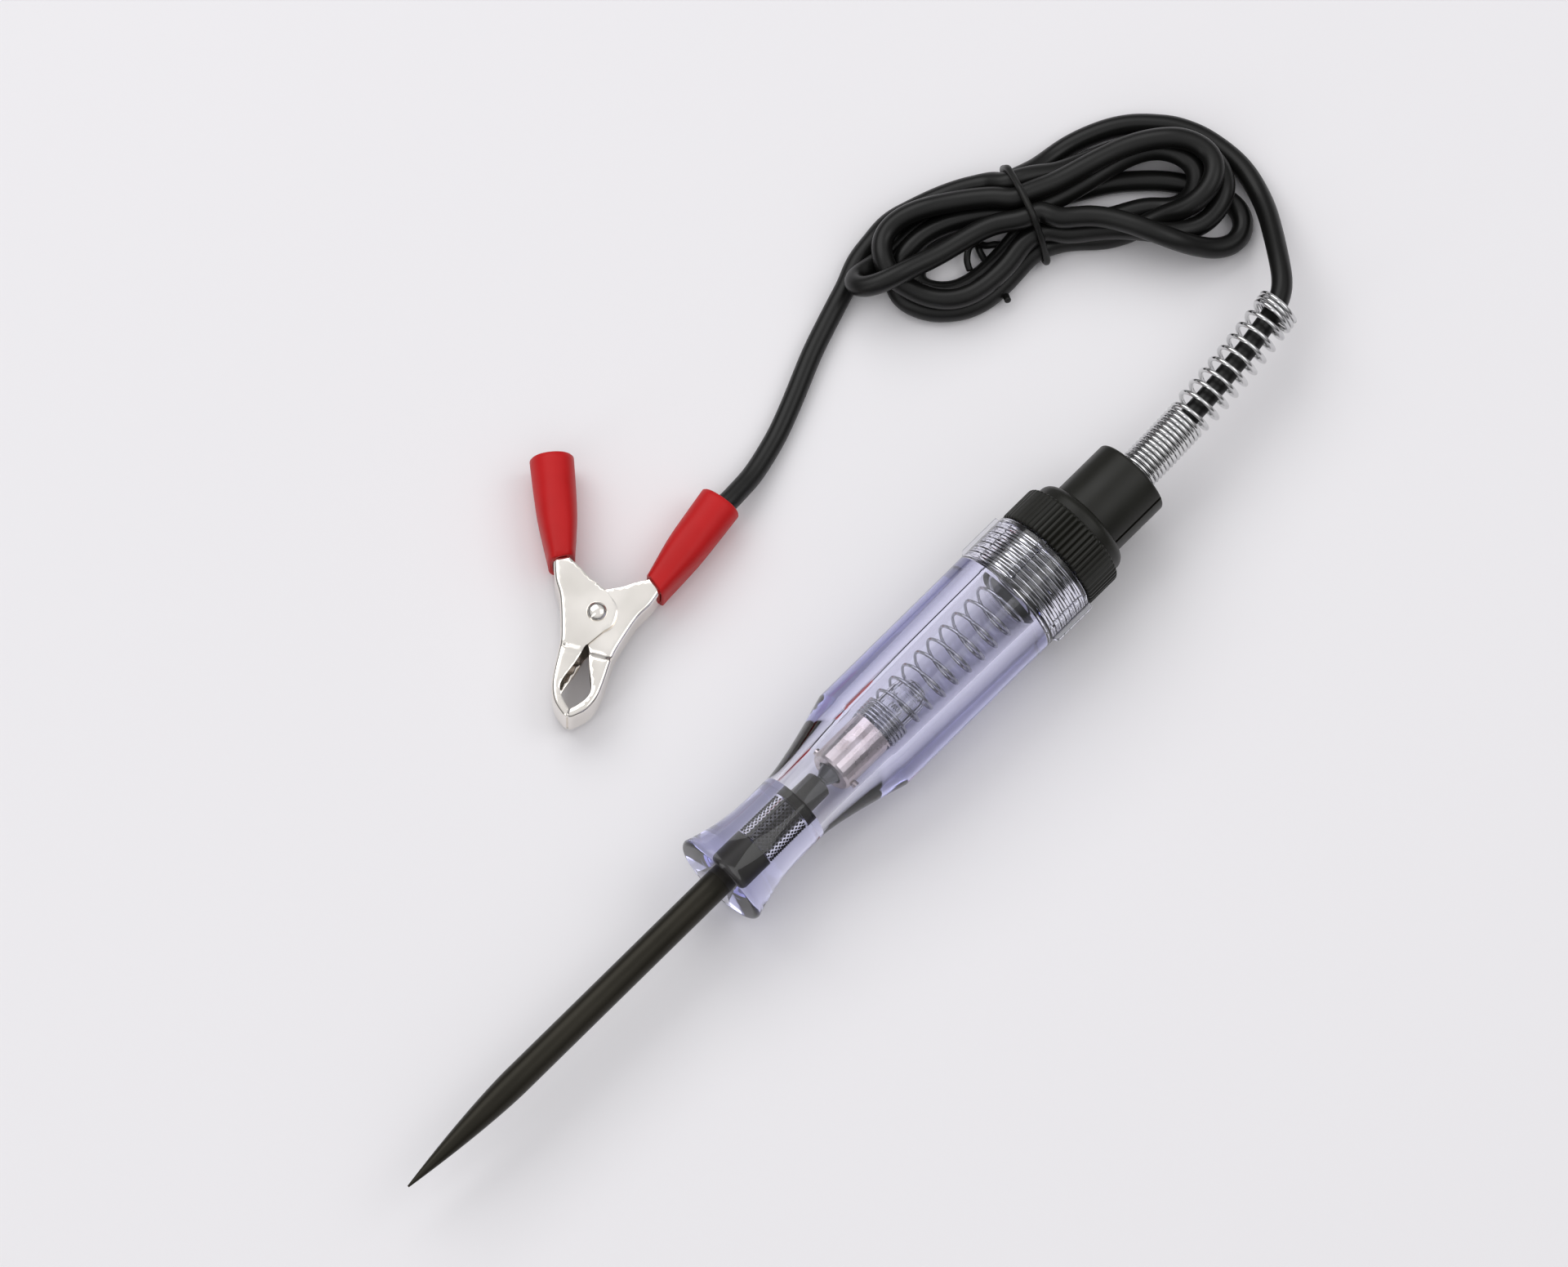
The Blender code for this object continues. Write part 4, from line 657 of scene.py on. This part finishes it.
def make_probe():
    """The shaft: a ground point, a plain shank, a diamond knurl and a tail."""
    rows = []
    for share in even(0.0, 1.0, 24):
        station = PROBE_TAPER_LENGTH * share ** PROBE_POINT_SPACING
        grown = 1 - (1 - station / PROBE_TAPER_LENGTH) ** PROBE_POINT_CROWN
        rows.append((station, PROBE_TIP_RADIUS + (PROBE_RADIUS - PROBE_TIP_RADIUS) * grown, False))
    rows += [(station, PROBE_RADIUS, False) for station in even(PROBE_TAPER_LENGTH, KNURL_START, 12)]
    rows.append((KNURL_START, PROBE_RADIUS, False))
    knurl_end = KNURL_START + KNURL_LENGTH
    rows += [(station, PROBE_RADIUS, True) for station in even(KNURL_START, knurl_end, KNURL_ROWS)]
    rows += [(knurl_end, PROBE_RADIUS, False), (PROBE_LENGTH - PROBE_TAIL_EDGE, PROBE_RADIUS, False),
             (PROBE_LENGTH, PROBE_RADIUS - PROBE_TAIL_EDGE, False)]
    rings = []
    for station, radius, knurled in rows:
        ring = []
        for index in range(HANDLE_SIDES):
            angle = tau * index / HANDLE_SIDES
            cut = KNURL_DEPTH * (1 - diamond(station, angle)) if knurled else 0.0
            ring.append(on_tool(station, radius - cut, angle))
        rings.append(ring)
    mesh = skin("probe_shaft", rings, capped=True)
    add_piece("probe_shaft", mesh, OXIDE, "handle_and_probe", "black_oxide_steel", "probe")


# The cap

def ridge_radius(station, angle):
    """The spigot's thread, one ridge that starts and ends where the plain spigot shows."""
    from_front = station - SPIGOT_FRONT - EDGE_STEP
    from_rear = THREAD_END + THREAD_PLAIN_END - station
    fade = min(from_front / THREAD_FADE, from_rear / THREAD_FADE, 1.0)
    return THREAD_ROOT_RADIUS + THREAD_DEPTH * thread_ridge(station, angle) * max(fade, 0.0)


def rounding_rows(station, radius, rounding, steps, effect, forward=1):
    """Rows round a quarter turn, from a face at the station out to the full radius."""
    turns = even(0.0, pi / 2, steps)[1:] + [pi / 2]
    return [(station - forward * rounding * (1 - cos(turn)), radius - rounding * (1 - sin(turn)), effect)
            for turn in turns]


def cap_rows():
    """Rows of (station, radius, effect), down the outside from the rear and back up the bore."""
    rows = [(CAP_REAR, SOCKET_RADIUS, None), (CAP_REAR, CAP_NECK_RADIUS - CAP_NECK_EDGE, "slit")]
    rows += rounding_rows(CAP_REAR, CAP_NECK_RADIUS, CAP_NECK_EDGE, 4, "slit")
    rows += [(NECK_START + EDGE_STEP, CAP_NECK_RADIUS, "slit"), (NECK_START, CAP_NECK_RADIUS, None),
             (NECK_START, CAP_FLANGE_RADIUS - CAP_FLANGE_ROUNDING, None)]
    rows += rounding_rows(NECK_START, CAP_FLANGE_RADIUS, CAP_FLANGE_ROUNDING, 10, None)
    rows += [(FLANGE_START, CAP_FLANGE_RADIUS, None),
             (FLANGE_START, CAP_RING_RADIUS - CAP_RING_EDGE, "knurl")]
    rows += rounding_rows(FLANGE_START, CAP_RING_RADIUS, CAP_RING_EDGE, 4, "knurl")
    rows += reversed(rounding_rows(CAP_FACE, CAP_RING_RADIUS, CAP_RING_EDGE, 4, "knurl", -1))
    rows += [(CAP_FACE, CAP_RING_RADIUS - CAP_RING_EDGE, "knurl"), (CAP_FACE, THREAD_ROOT_RADIUS, None)]
    rows += [(station, THREAD_ROOT_RADIUS, "thread")
             for station in even(CAP_FACE - EDGE_STEP, SPIGOT_FRONT + EDGE_STEP, THREAD_ROWS)]
    return rows + [(SPIGOT_FRONT, THREAD_ROOT_RADIUS, None), (SPIGOT_FRONT, SPIGOT_BORE_RADIUS, None),
                   (SPIGOT_FLOOR, SPIGOT_BORE_RADIUS, None), (SPIGOT_FLOOR, CORD_BORE_RADIUS, None),
                   (SOCKET_FLOOR, CORD_BORE_RADIUS, None), (SOCKET_FLOOR, SOCKET_RADIUS, None)]


def cap_columns():
    """Six columns to a knurl ridge, with the ones beside a slit moved to its edges."""
    columns = []
    count = CAP_KNURL_COUNT * 6
    for index in range(count):
        angle = 360 * index / count
        offset = min((angle - slit for slit in CAP_SLIT_ANGLES), key=abs)
        edge = {2: CAP_SLIT_WALL, 3: CAP_SLIT_LIP}.get(round(abs(offset)))
        if edge:
            angle += (edge if offset > 0 else -edge) - offset
        columns.append((radians(angle), round(abs(offset)) < 3))
    return columns


def make_cap():
    rings = []
    columns = cap_columns()
    for station, radius, effect in cap_rows():
        ring = []
        for angle, in_slit in columns:
            reach = radius
            if effect == "thread":
                reach = ridge_radius(station, angle)
            elif effect == "knurl":
                phase = angle * CAP_KNURL_COUNT / tau % 1
                reach = radius - CAP_KNURL_DEPTH * max(0.0, 1 - abs(phase - 0.5) / CAP_KNURL_HALF_GROOVE)
            elif effect == "slit" and in_slit:
                reach = min(radius, CAP_SLIT_FLOOR)
            ring.append(on_tool(station, reach, angle))
        rings.append(ring)
    mesh = skin("screw_cap", rings, closed=True, sharp=38)
    add_piece("screw_cap", mesh, BLACK, "cap_and_lead", "black_plastic", "cap")


# The two springs on the tool's axis

def helix(sections, radius_at, length=None):
    """(reach, radius, angle) along a coil whose sections are (turns, pitch) in order."""
    if length is not None:
        used = sum(turns * pitch for turns, pitch in sections)
        open_turns = sum(turns for turns, pitch in sections if not pitch)
        sections = [(turns, pitch or (length - used) / open_turns) for turns, pitch in sections]
    result = []
    reach = turned_by = 0.0
    for turns, pitch in sections:
        steps = round(turns * POINTS_PER_TURN)
        for index in range(steps):
            share = index / steps
            result.append((reach + turns * pitch * share, turned_by + turns * share))
        reach += turns * pitch
        turned_by += turns
    result.append((reach, turned_by))
    return [(place, radius_at(place), tau * turn) for place, turn in result]


def make_contact_spring():
    length = CONTACT_LAST - CONTACT_FIRST
    front, rear = CONTACT_RADII
    turns = helix(CONTACT_SECTIONS, lambda reach: front + (rear - front) * reach / length, length)
    points = [Vector((TIP_X + CONTACT_FIRST + reach, radius * cos(angle), AXIS_HEIGHT + radius * sin(angle)))
              for reach, radius, angle in turns]
    ends = [Vector((TIP_X + station, 0.0, AXIS_HEIGHT)) for station in (CONTACT_FIRST, CONTACT_LAST)]
    add_piece("inner_spring", tube("inner_spring", points, CONTACT_WIRE / 2), SPRING_STEEL,
              ("lamp", "cap_and_lead", *ends), "zinc_wire", "contact_spring")


def relief_drift(station):
    """How far to the side the relief spring and the lead in it lean at a station."""
    bent = max(station - RELIEF_BEND_START, 0.0) / (RELIEF_END - RELIEF_BEND_START)
    return RELIEF_SIDE_DRIFT * bent ** 2


def make_relief_spring():
    closed_length = RELIEF_SECTIONS[0][0] * RELIEF_SECTIONS[0][1]
    narrow, wide = RELIEF_RADII

    def radius_at(reach):
        opened = min(max((reach - closed_length) / RELIEF_SECTIONS[1][1], 0.0), 1.0)
        return narrow + (wide - narrow) * opened

    points = []
    for reach, radius, angle in helix(RELIEF_SECTIONS, radius_at):
        station = RELIEF_START + reach
        points.append(Vector((TIP_X + station, relief_drift(station) + radius * cos(angle),
                              AXIS_HEIGHT + radius * sin(angle))))
    add_piece("outer_spring", tube("outer_spring", points, RELIEF_WIRE / 2), ZINC,
              "cap_and_lead", "zinc_wire", "relief_spring")


# The clip

def clip_place(across, along, rise):
    """World place of a point in the clip's own frame."""
    return CLIP_CENTRE + Vector((across * cos(CLIP_ANGLE) - along * sin(CLIP_ANGLE),
                                 across * sin(CLIP_ANGLE) + along * cos(CLIP_ANGLE), rise))


def shifted(line, distance):
    """An open 2-D line moved to the right of its travel, and kept on its own side of the middle."""
    result = []
    for index, point in enumerate(line):
        run = line[min(index + 1, len(line) - 1)] - line[max(index - 1, 0)]
        right = Vector((run.y, -run.x)).normalized()
        moved = point + right * distance
        result.append(Vector((max(moved.x, CLIP_TIP_MEET), moved.y)))
    return result


def inside(point, loop):
    hit = False
    for start, end in zip(loop, loop[1:] + loop[:1]):
        if (start.y > point.y) != (end.y > point.y):
            if point.x < (end.x - start.x) * (point.y - start.y) / (end.y - start.y) + start.x:
                hit = not hit
    return hit


def half_height_at(along, half_height):
    """Half of a pressed half's height: the jaws come level past the crease, and the arm narrows."""
    past_crease = min(max((CLIP_CREASE - along) / CLIP_LEVEL_RUN + 0.5, 0.0), 1.0)
    height = half_height + (CLIP_JAW_HALF_HEIGHT - half_height) * past_crease
    in_sleeve = min(max((along - CLIP_NARROW_START) / CLIP_NARROW_RUN, 0.0), 1.0)
    pinch = CLIP_CREASE_DEPTH / (1 + ((along - CLIP_CREASE) / CLIP_CREASE_WIDTH) ** 4)
    return height - CLIP_NARROWED * in_sleeve - pinch


def press_half(name, side, half_height):
    """A sheet pressed to a channel: two flat flanges, round bends and a web on the outer edge."""
    outer = [Vector(CLIP_ARM_OUTER_END)] + smooth_path(CLIP_OUTER, 12)
    ear = [Vector((CLIP_EAR_RADIUS * cos(turn), CLIP_EAR_RADIUS * sin(turn)))
           for turn in even(*CLIP_EAR_ARC, 24)]
    inner = smooth_path(CLIP_WINDOW, 8) + ear + smooth_path(CLIP_EAR_EDGE[:4], 4) + [Vector(CLIP_EAR_EDGE[4])]
    profile = [(CLIP_BEND * (1 - sin(turn)), CLIP_BEND * (1 - cos(turn)))
               for turn in even(0.0, pi / 2, 5)] + [(0.0, CLIP_BEND)]
    edge = shifted(outer, CLIP_BEND)
    while edge[-2].x <= CLIP_TIP_MEET:
        edge.pop()
    loop = edge + [point for point in inner if point.y > edge[-1].y + CLIP_TIP_MEET]
    loop.reverse()
    grid = [Vector((column * CLIP_GRID, row * CLIP_GRID))
            for column in CLIP_GRID_COLUMNS for row in CLIP_GRID_ROWS]
    kept = [point for point in grid if inside(point, loop)
            and min((point - corner).length for corner in loop) > CLIP_GRID * CLIP_GRID_CLEAR]
    spots = [point * 1000 for point in loop + kept]
    flat, _, triangles, *_ = delaunay_2d_cdt(spots, [], [list(range(len(loop)))], 1, 0.00001)
    work = bmesh.new()
    for upward in (1, -1):
        corners = [work.verts.new((point.x / 1000, point.y / 1000,
                                   upward * half_height_at(point.y / 1000, half_height))) for point in flat]
        for triangle in triangles:
            work.faces.new([corners[index] for index in triangle])
    lines = []
    for inset, drop in profile:
        line = shifted(outer, inset)
        lines.append([(point.x, point.y, half_height_at(base.y, half_height) - drop)
                      for point, base in zip(line, outer)])
    lines += [[(across, along, -rise) for across, along, rise in line] for line in reversed(lines)]
    rows = [[work.verts.new(point) for point in line] for line in lines]
    for low, high in zip(rows, rows[1:]):
        for index in range(len(low) - 1):
            work.faces.new((low[index], low[index + 1], high[index + 1], high[index]))
    for vertex in work.verts:
        vertex.co = clip_place(side * vertex.co.x, vertex.co.y, vertex.co.z)
    bmesh.ops.remove_doubles(work, verts=work.verts, dist=0.00002)
    bmesh.ops.dissolve_degenerate(work, edges=work.edges, dist=0.00001)
    bmesh.ops.recalc_face_normals(work, faces=work.faces)
    top = max(work.faces, key=lambda face: face.calc_center_median().z)
    if top.normal.z < 0:
        bmesh.ops.reverse_faces(work, faces=work.faces)
    mesh = bpy.data.meshes.new(name)
    work.to_mesh(mesh)
    work.free()
    mesh.shade_smooth()
    return mesh


def add_sheet(made, thickness, rounding):
    """Give an open pressed surface its thickness, with softened edges."""
    sheet = made.modifiers.new("sheet", "SOLIDIFY")
    sheet.thickness = thickness
    sheet.offset = -1.0
    edges = made.modifiers.new("edges", "BEVEL")
    edges.limit_method = "ANGLE"
    edges.angle_limit = radians(55)
    edges.width = rounding
    edges.segments = 1
    normals = made.modifiers.new("normals", "WEIGHTED_NORMAL")
    normals.keep_sharp = True


def make_jaws():
    for half, side, half_height, body in CLIP_HALVES:
        node = f"clip_jaw_{half}"
        made = add_piece(f"pressed_{node}", press_half(node, side, half_height), CLIP_NICKEL, body,
                         "clip_nickel", node)
        add_sheet(made, CLIP_SHEET, 0.00004)


def make_rivet():
    seat = CLIP_MOVING_HALF_HEIGHT + RIVET_GAP
    rings = []
    for top, dome in RIVET_HEADS:
        part = []
        for turn in even(0.0, pi / 2, 12)[1:] + [pi / 2]:
            reach = RIVET_HEAD_RADIUS * sin(turn)
            part.append([clip_place(reach * cos(angle), reach * sin(angle), top * (seat + dome * cos(turn)))
                         for angle in even(0.0, tau, 40)])
        rings += part if top > 0 else list(reversed(part))
    mesh = skin("rivet", rings, capped=True)
    add_piece("rivet", mesh, CLIP_NICKEL, "cap_and_lead", "clip_nickel", "clip_rivet")


def make_clip_spring():
    lean = CLIP_SPRING_LEAN
    turns = CLIP_SPRING_TURNS + 2 * lean / tau
    steps = round(turns * POINTS_PER_TURN)
    drop = CLIP_SPRING_PITCH * turns / 2
    path = []
    for index in range(steps + 1):
        share = index / steps
        angle = lean - pi / 2 - tau * turns * share
        rise = drop * (2 * share - 1)
        path.append((CLIP_SPRING_RADIUS * cos(angle), CLIP_SPRING_RADIUS * sin(angle), rise))
    first, last = path[0], path[-1]
    leg = (CLIP_SPRING_LEG * cos(lean), CLIP_SPRING_LEG * sin(lean))
    path = ([(first[0] + leg[0], first[1] + leg[1], first[2])] + path
            + [(last[0] - leg[0], last[1] + leg[1], last[2])])
    mesh = tube("torsion_spring", [clip_place(*point) for point in path], CLIP_SPRING_WIRE / 2)
    ends = [clip_place(across, 0.0, 0.0) for across in CLIP_SPRING_BLEND]
    add_piece("torsion_spring", mesh, ZINC, ("clip_moving_half", "cap_and_lead", *ends),
                            "zinc_wire", "clip_spring")


def sleeve_width(reach):
    line = smooth_path(SLEEVE_WIDTHS, 6)
    for low, high in zip(line, line[1:]):
        if reach <= high.x:
            return low.y + (high.y - low.y) * (reach - low.x) / (high.x - low.x)
    return line[-1].y


def sleeve_section(reach, length, half_height, inset):
    """An oval section across an arm, squarer near the root, in the arm's own two directions."""
    share = reach / length
    wide = sleeve_width(reach) - inset
    tall = half_height - SLEEVE_LOWERED * share - inset
    square, lost, rate = SLEEVE_SQUARENESS
    power = 2 / (square - lost * min(share * rate, 1.0))
    section = []
    for turn in even(0.0, tau, 56):
        right, up = cos(turn), sin(turn)
        section.append((wide * abs(right) ** power * (1 if right >= 0 else -1),
                        tall * abs(up) ** power * (1 if up >= 0 else -1)))
    return section, wide


def make_sleeves():
    run = (SLEEVE_END[0] - SLEEVE_ROOT[0], SLEEVE_END[1] - SLEEVE_ROOT[1])
    lean = atan2(*run)
    length = hypot(*run) + SLEEVE_PAST_ARM
    for half, side, half_height, body in CLIP_HALVES:
        node = f"clip_sleeve_{half}"
        outer_height = half_height + SLEEVE_OVER_ARM
        lip_start = length - SLEEVE_LIP
        outside = [(0.0, SLEEVE_LIP)] + [(reach, 0.0) for reach in even(SLEEVE_LIP, lip_start, 22)]
        outside += [(lip_start, 0.0), (length, SLEEVE_LIP)]
        wall = [(reach, SLEEVE_WALL) for reach in even(length, 0.0, 12)] + [(0.0, SLEEVE_WALL)]
        rings = []
        for reach, inset in outside + wall:
            section, wide = sleeve_section(reach, length, outer_height, inset)
            slant = SLEEVE_SLANTS[half] * max(0.0, 1 - reach / SLEEVE_SLANT_RUN) ** 2
            ring = []
            for right, up in section:
                along = reach - slant * (right + wide)
                ring.append(clip_place(side * (SLEEVE_ROOT[0] + right * cos(lean) + along * sin(lean)),
                                       SLEEVE_ROOT[1] - right * sin(lean) + along * cos(lean), up))
            rings.append(ring)
        mesh = skin(f"soft_{node}", rings, closed=True, sharp=50)
        add_piece(f"soft_{node}", mesh, RED, body, "red_sleeve", node)


# The lead and its tie

def tie_loop(route):
    """The tie's wire, pulled tight round the strands that pass through it."""
    run = Vector((cos(TIE_ANGLE), sin(TIE_ANGLE)))
    hug = CORD_RADIUS + TIE_WIRE / 2
    spots = []
    for start, end in zip(route, route[1:]):
        before, after = [(point.xy - TIE_PLACE).dot(run) for point in (start, end)]
        if before * after < 0:
            crossing = start.lerp(end, before / (before - after))
            across = (crossing.xy - TIE_PLACE).dot(run.orthogonal())
            if abs(across) < TIE_REACH:
                spots += [(across + hug * cos(turn), crossing.z + hug * sin(turn))
                          for turn in even(0.0, tau, 24)]
    hull = [Vector(spots[index]) for index in convex_hull_2d(spots)]
    middle = sum(hull, Vector((0.0, 0.0))) / len(hull)
    turned = sorted(((atan2(spot.y - middle.y, spot.x - middle.x) + pi / 2) % tau, tuple(spot))
                    for spot in hull)
    return [(TIE_ALONG, *spot) for angle, spot in turned if TIE_HALF_OPEN < angle < tau - TIE_HALF_OPEN]


def make_tie(route):
    loop = tie_loop(route)
    path = smooth_path(TIE_CUT_END + loop[:1], 8) + [Vector(spot) for spot in loop[1:-1]]
    path += smooth_path(loop[-1:] + TIE_TWISTED_END, 8)
    turn = Matrix.Rotation(TIE_ANGLE, 3, "Z")
    points = [turn @ spot + TIE_PLACE.to_3d() for spot in path]
    mesh = tube("wire_tie", points, TIE_WIRE / 2, 12)
    add_piece("wire_tie", mesh, TIE, "cap_and_lead", "black_tie", "twist_tie")


def photo_place(across, down, height=LEAD_AT_REST):
    """Place of a point that the photo shows at a pixel and that lies at a height."""
    right, up = picture_axes()
    in_picture = right * (across - PHOTO_MIDDLE[0]) + up * (PHOTO_MIDDLE[1] - down)
    place = LOOK_AT * 1000 + in_picture * PHOTO_PIXEL
    return place + TOWARDS_CAMERA * (height - place.z) / TOWARDS_CAMERA.z


def tie_pass(across, height, way):
    """A strand's run straight through the tie, held in the middle."""
    run = Vector((cos(TIE_ANGLE), sin(TIE_ANGLE), 0.0)) * way * TIE_STRAIGHT
    side = Vector((-sin(TIE_ANGLE), cos(TIE_ANGLE), 0.0))
    middle = TIE_PLACE.to_3d() * 1000 + side * across + Vector((0.0, 0.0, height))
    return [("hidden", middle - run), ("held", middle), ("hidden", middle + run)]


def lead_knots():
    """(kind, place) of the route's points, from the terminal to the clip, to a tenth of a millimetre."""
    tip, axis = 1000 * TIP_X, 1000 * AXIS_HEIGHT
    knots = [("held", (station + tip, 1000 * relief_drift(station / 1000), axis))
             for station in LEAD_STATIONS]
    knots.append(("hidden", (1000 * RELIEF_END + tip, LEAD_MOUTH_SIDE, axis)))
    for kind, points in LEAD_ROUTE:
        for point in points:
            knots += tie_pass(*point) if kind == "tie" else [(kind, photo_place(*point))]
    knots += [("held", (station + tip, side, height)) for station, side, height in LEAD_TAIL]
    lean = (SLEEVE_END[0] - SLEEVE_ROOT[0]) / (SLEEVE_END[1] - SLEEVE_ROOT[1])
    for along, aside in LEAD_IN_SLEEVE:
        across = SLEEVE_END[0] + lean * (along - SLEEVE_END[1]) + aside
        knots.append(("held", clip_place(across, along, 0.0) * 1000))
    return [(kind, [round(value, digits) for value, digits in zip(place, (1, 1, 2))])
            for kind, place in knots]


def lead_start():
    """Even points along the lead's route, with the pull of each to its place, 0 where it's held."""
    kinds, knots = zip(*lead_knots())
    per_span = 24
    line = np.array(smooth_path(knots, per_span))
    reach = np.concatenate([[0.0], np.cumsum(np.linalg.norm(np.diff(line, axis=0), axis=1))])
    wanted = np.linspace(0.0, reach[-1], int(round(reach[-1] / LEAD_STEP)) + 1)
    points = np.stack([np.interp(wanted, reach, line[:, axis]) for axis in range(3)], axis=1)
    place = np.interp(wanted, reach, np.arange(len(line)) / per_span)
    nearest = np.round(place).astype(int)
    pull = np.array([PLACE_KEPT[kinds[index]] for index in nearest])
    loose = (pull > 0) | (np.abs(place - nearest) > LEAD_HELD_SPAN)
    return points, np.maximum(pull, PLACE_KEPT["hidden"]) * loose, loose


def pushed_apart():
    """The lead's route with its strands moved one diameter apart and its bends evened out."""
    start, pull, loose = lead_start()
    points = start.copy()
    across = 2000 * CORD_RADIUS
    floor_height = 1000 * CORD_RADIUS + LEAD_OFF_FLOOR
    in_picture = np.eye(3) - np.outer(TOWARDS_CAMERA, TOWARDS_CAMERA)
    first, second = np.triu_indices(len(points), k=int(LEAD_SKIP * across / LEAD_STEP) + 1)
    for turn in range(LEAD_ROUNDS):
        if turn % LEAD_RECOUNT == 0:
            near = np.linalg.norm(points[first] - points[second], axis=1) < across * LEAD_NEAR
            one, other = first[near], second[near]
        apart = points[one] - points[other]
        gap = np.linalg.norm(apart, axis=1) + 1e-9
        close = gap < across * LEAD_APART
        push = apart[close] * ((across * LEAD_APART / gap[close] - 1) / 2)[:, None]
        move = np.zeros_like(points)
        met = np.zeros(len(points))
        for ends, way in ((one[close], 1), (other[close], -1)):
            np.add.at(move, ends, way * push)
            np.add.at(met, ends, 1)
        move /= np.maximum(met, 1)[:, None]
        sag = np.zeros_like(points)
        sag[1:-1] = (points[:-2] + points[2:]) / 2 - points[1:-1]
        move[1:-1] += LEAD_EVENING * (sag[1:-1] - (sag[:-2] + sag[2:]) / 2)
        away = start - points
        move += pull[:, None] * (away @ in_picture)
        move[:, 2] += LEAD_SETTLING * away[:, 2] - LEAD_SETTLING
        run = np.zeros_like(points)
        run[1:-1] = points[2:] - points[:-2]
        run /= np.linalg.norm(run, axis=1)[:, None] + 1e-9
        spacing = np.linalg.norm(np.diff(points, axis=0), axis=1)
        move[1:-1] += LEAD_SPACING * run[1:-1] * (spacing[1:] - spacing[:-1])[:, None]
        points += move * loose[:, None]
        points[:, 2] = np.maximum(points[:, 2], floor_height)
    return [Vector(point) / 1000 for point in points]


def make_cord(route):
    points = smooth_path(route, 2)
    curve = bpy.data.curves.new("ground_lead", "CURVE")
    curve.dimensions = "3D"
    curve.bevel_depth = CORD_RADIUS
    curve.bevel_resolution = 6
    curve.use_fill_caps = True
    spline = curve.splines.new("POLY")
    spline.points.add(len(points) - 1)
    for knot, point in zip(spline.points, points):
        knot.co = (*point, 1.0)
    spline.use_smooth = True
    return add_piece("ground_lead", curve, PVC, "cap_and_lead", "black_cable",
                     "cord_lead", "cord_hank", "cord_tail")


def make_world():
    world = bpy.data.worlds.new("studio")
    bpy.context.scene.world = world
    world.use_nodes = True
    tree = world.node_tree
    background = tree.nodes["Background"]
    set_inputs(background, Strength=WORLD_LIGHT)
    direction = tree.nodes.new("ShaderNodeTexCoord")
    split = tree.nodes.new("ShaderNodeSeparateXYZ")
    ramp = tree.nodes.new("ShaderNodeValToRGB")
    steps = ramp.color_ramp.elements
    while len(steps) < len(WORLD_STEPS):
        steps.new(0.5)
    for step, (place, level) in zip(steps, WORLD_STEPS):
        step.position = place
        step.color = (level, level, level * WORLD_BLUE, 1.0)
    tree.links.new(direction.outputs["Generated"], split.inputs["Vector"])
    tree.links.new(split.outputs["Z"], ramp.inputs["Fac"])
    tree.links.new(ramp.outputs["Color"], background.inputs["Color"])


def make_stage():
    """A pale floor and soft lights."""
    bpy.ops.mesh.primitive_plane_add(size=FLOOR_SIZE, location=(0.0, 0.0, 0.0))
    floor_sheet = bpy.context.object
    floor_sheet.name = "floor"
    made, tree, shader = principled("pale floor", FLOOR_TONES[0], 0.6)
    tint(tree, add_noise(tree, 2.0), shader.inputs["Base Color"], *FLOOR_TONES)
    floor_sheet.data.materials.append(made)
    for name, place, size, power in LIGHTS:
        data = bpy.data.lights.new(name, "AREA")
        data.shape = "RECTANGLE"
        data.size, data.size_y = size
        data.energy = power
        lamp = bpy.data.objects.new(name, data)
        bpy.context.scene.collection.objects.link(lamp)
        lamp.location = place
        lamp.rotation_euler = (LAMP_AIM - Vector(place)).to_track_quat("-Z", "Y").to_euler()
    make_world()


for node, finish in CAD_FINISHES.items():
    dress(nodes[node], finish)
make_camera()
make_handle()
make_probe()
make_cap()
make_contact_spring()
make_relief_spring()
make_jaws()
make_rivet()
make_clip_spring()
make_sleeves()
route = pushed_apart()
make_tie(route)
lead = make_cord(route)
make_stage()
bpy.context.scene.view_settings.view_transform = "Standard"
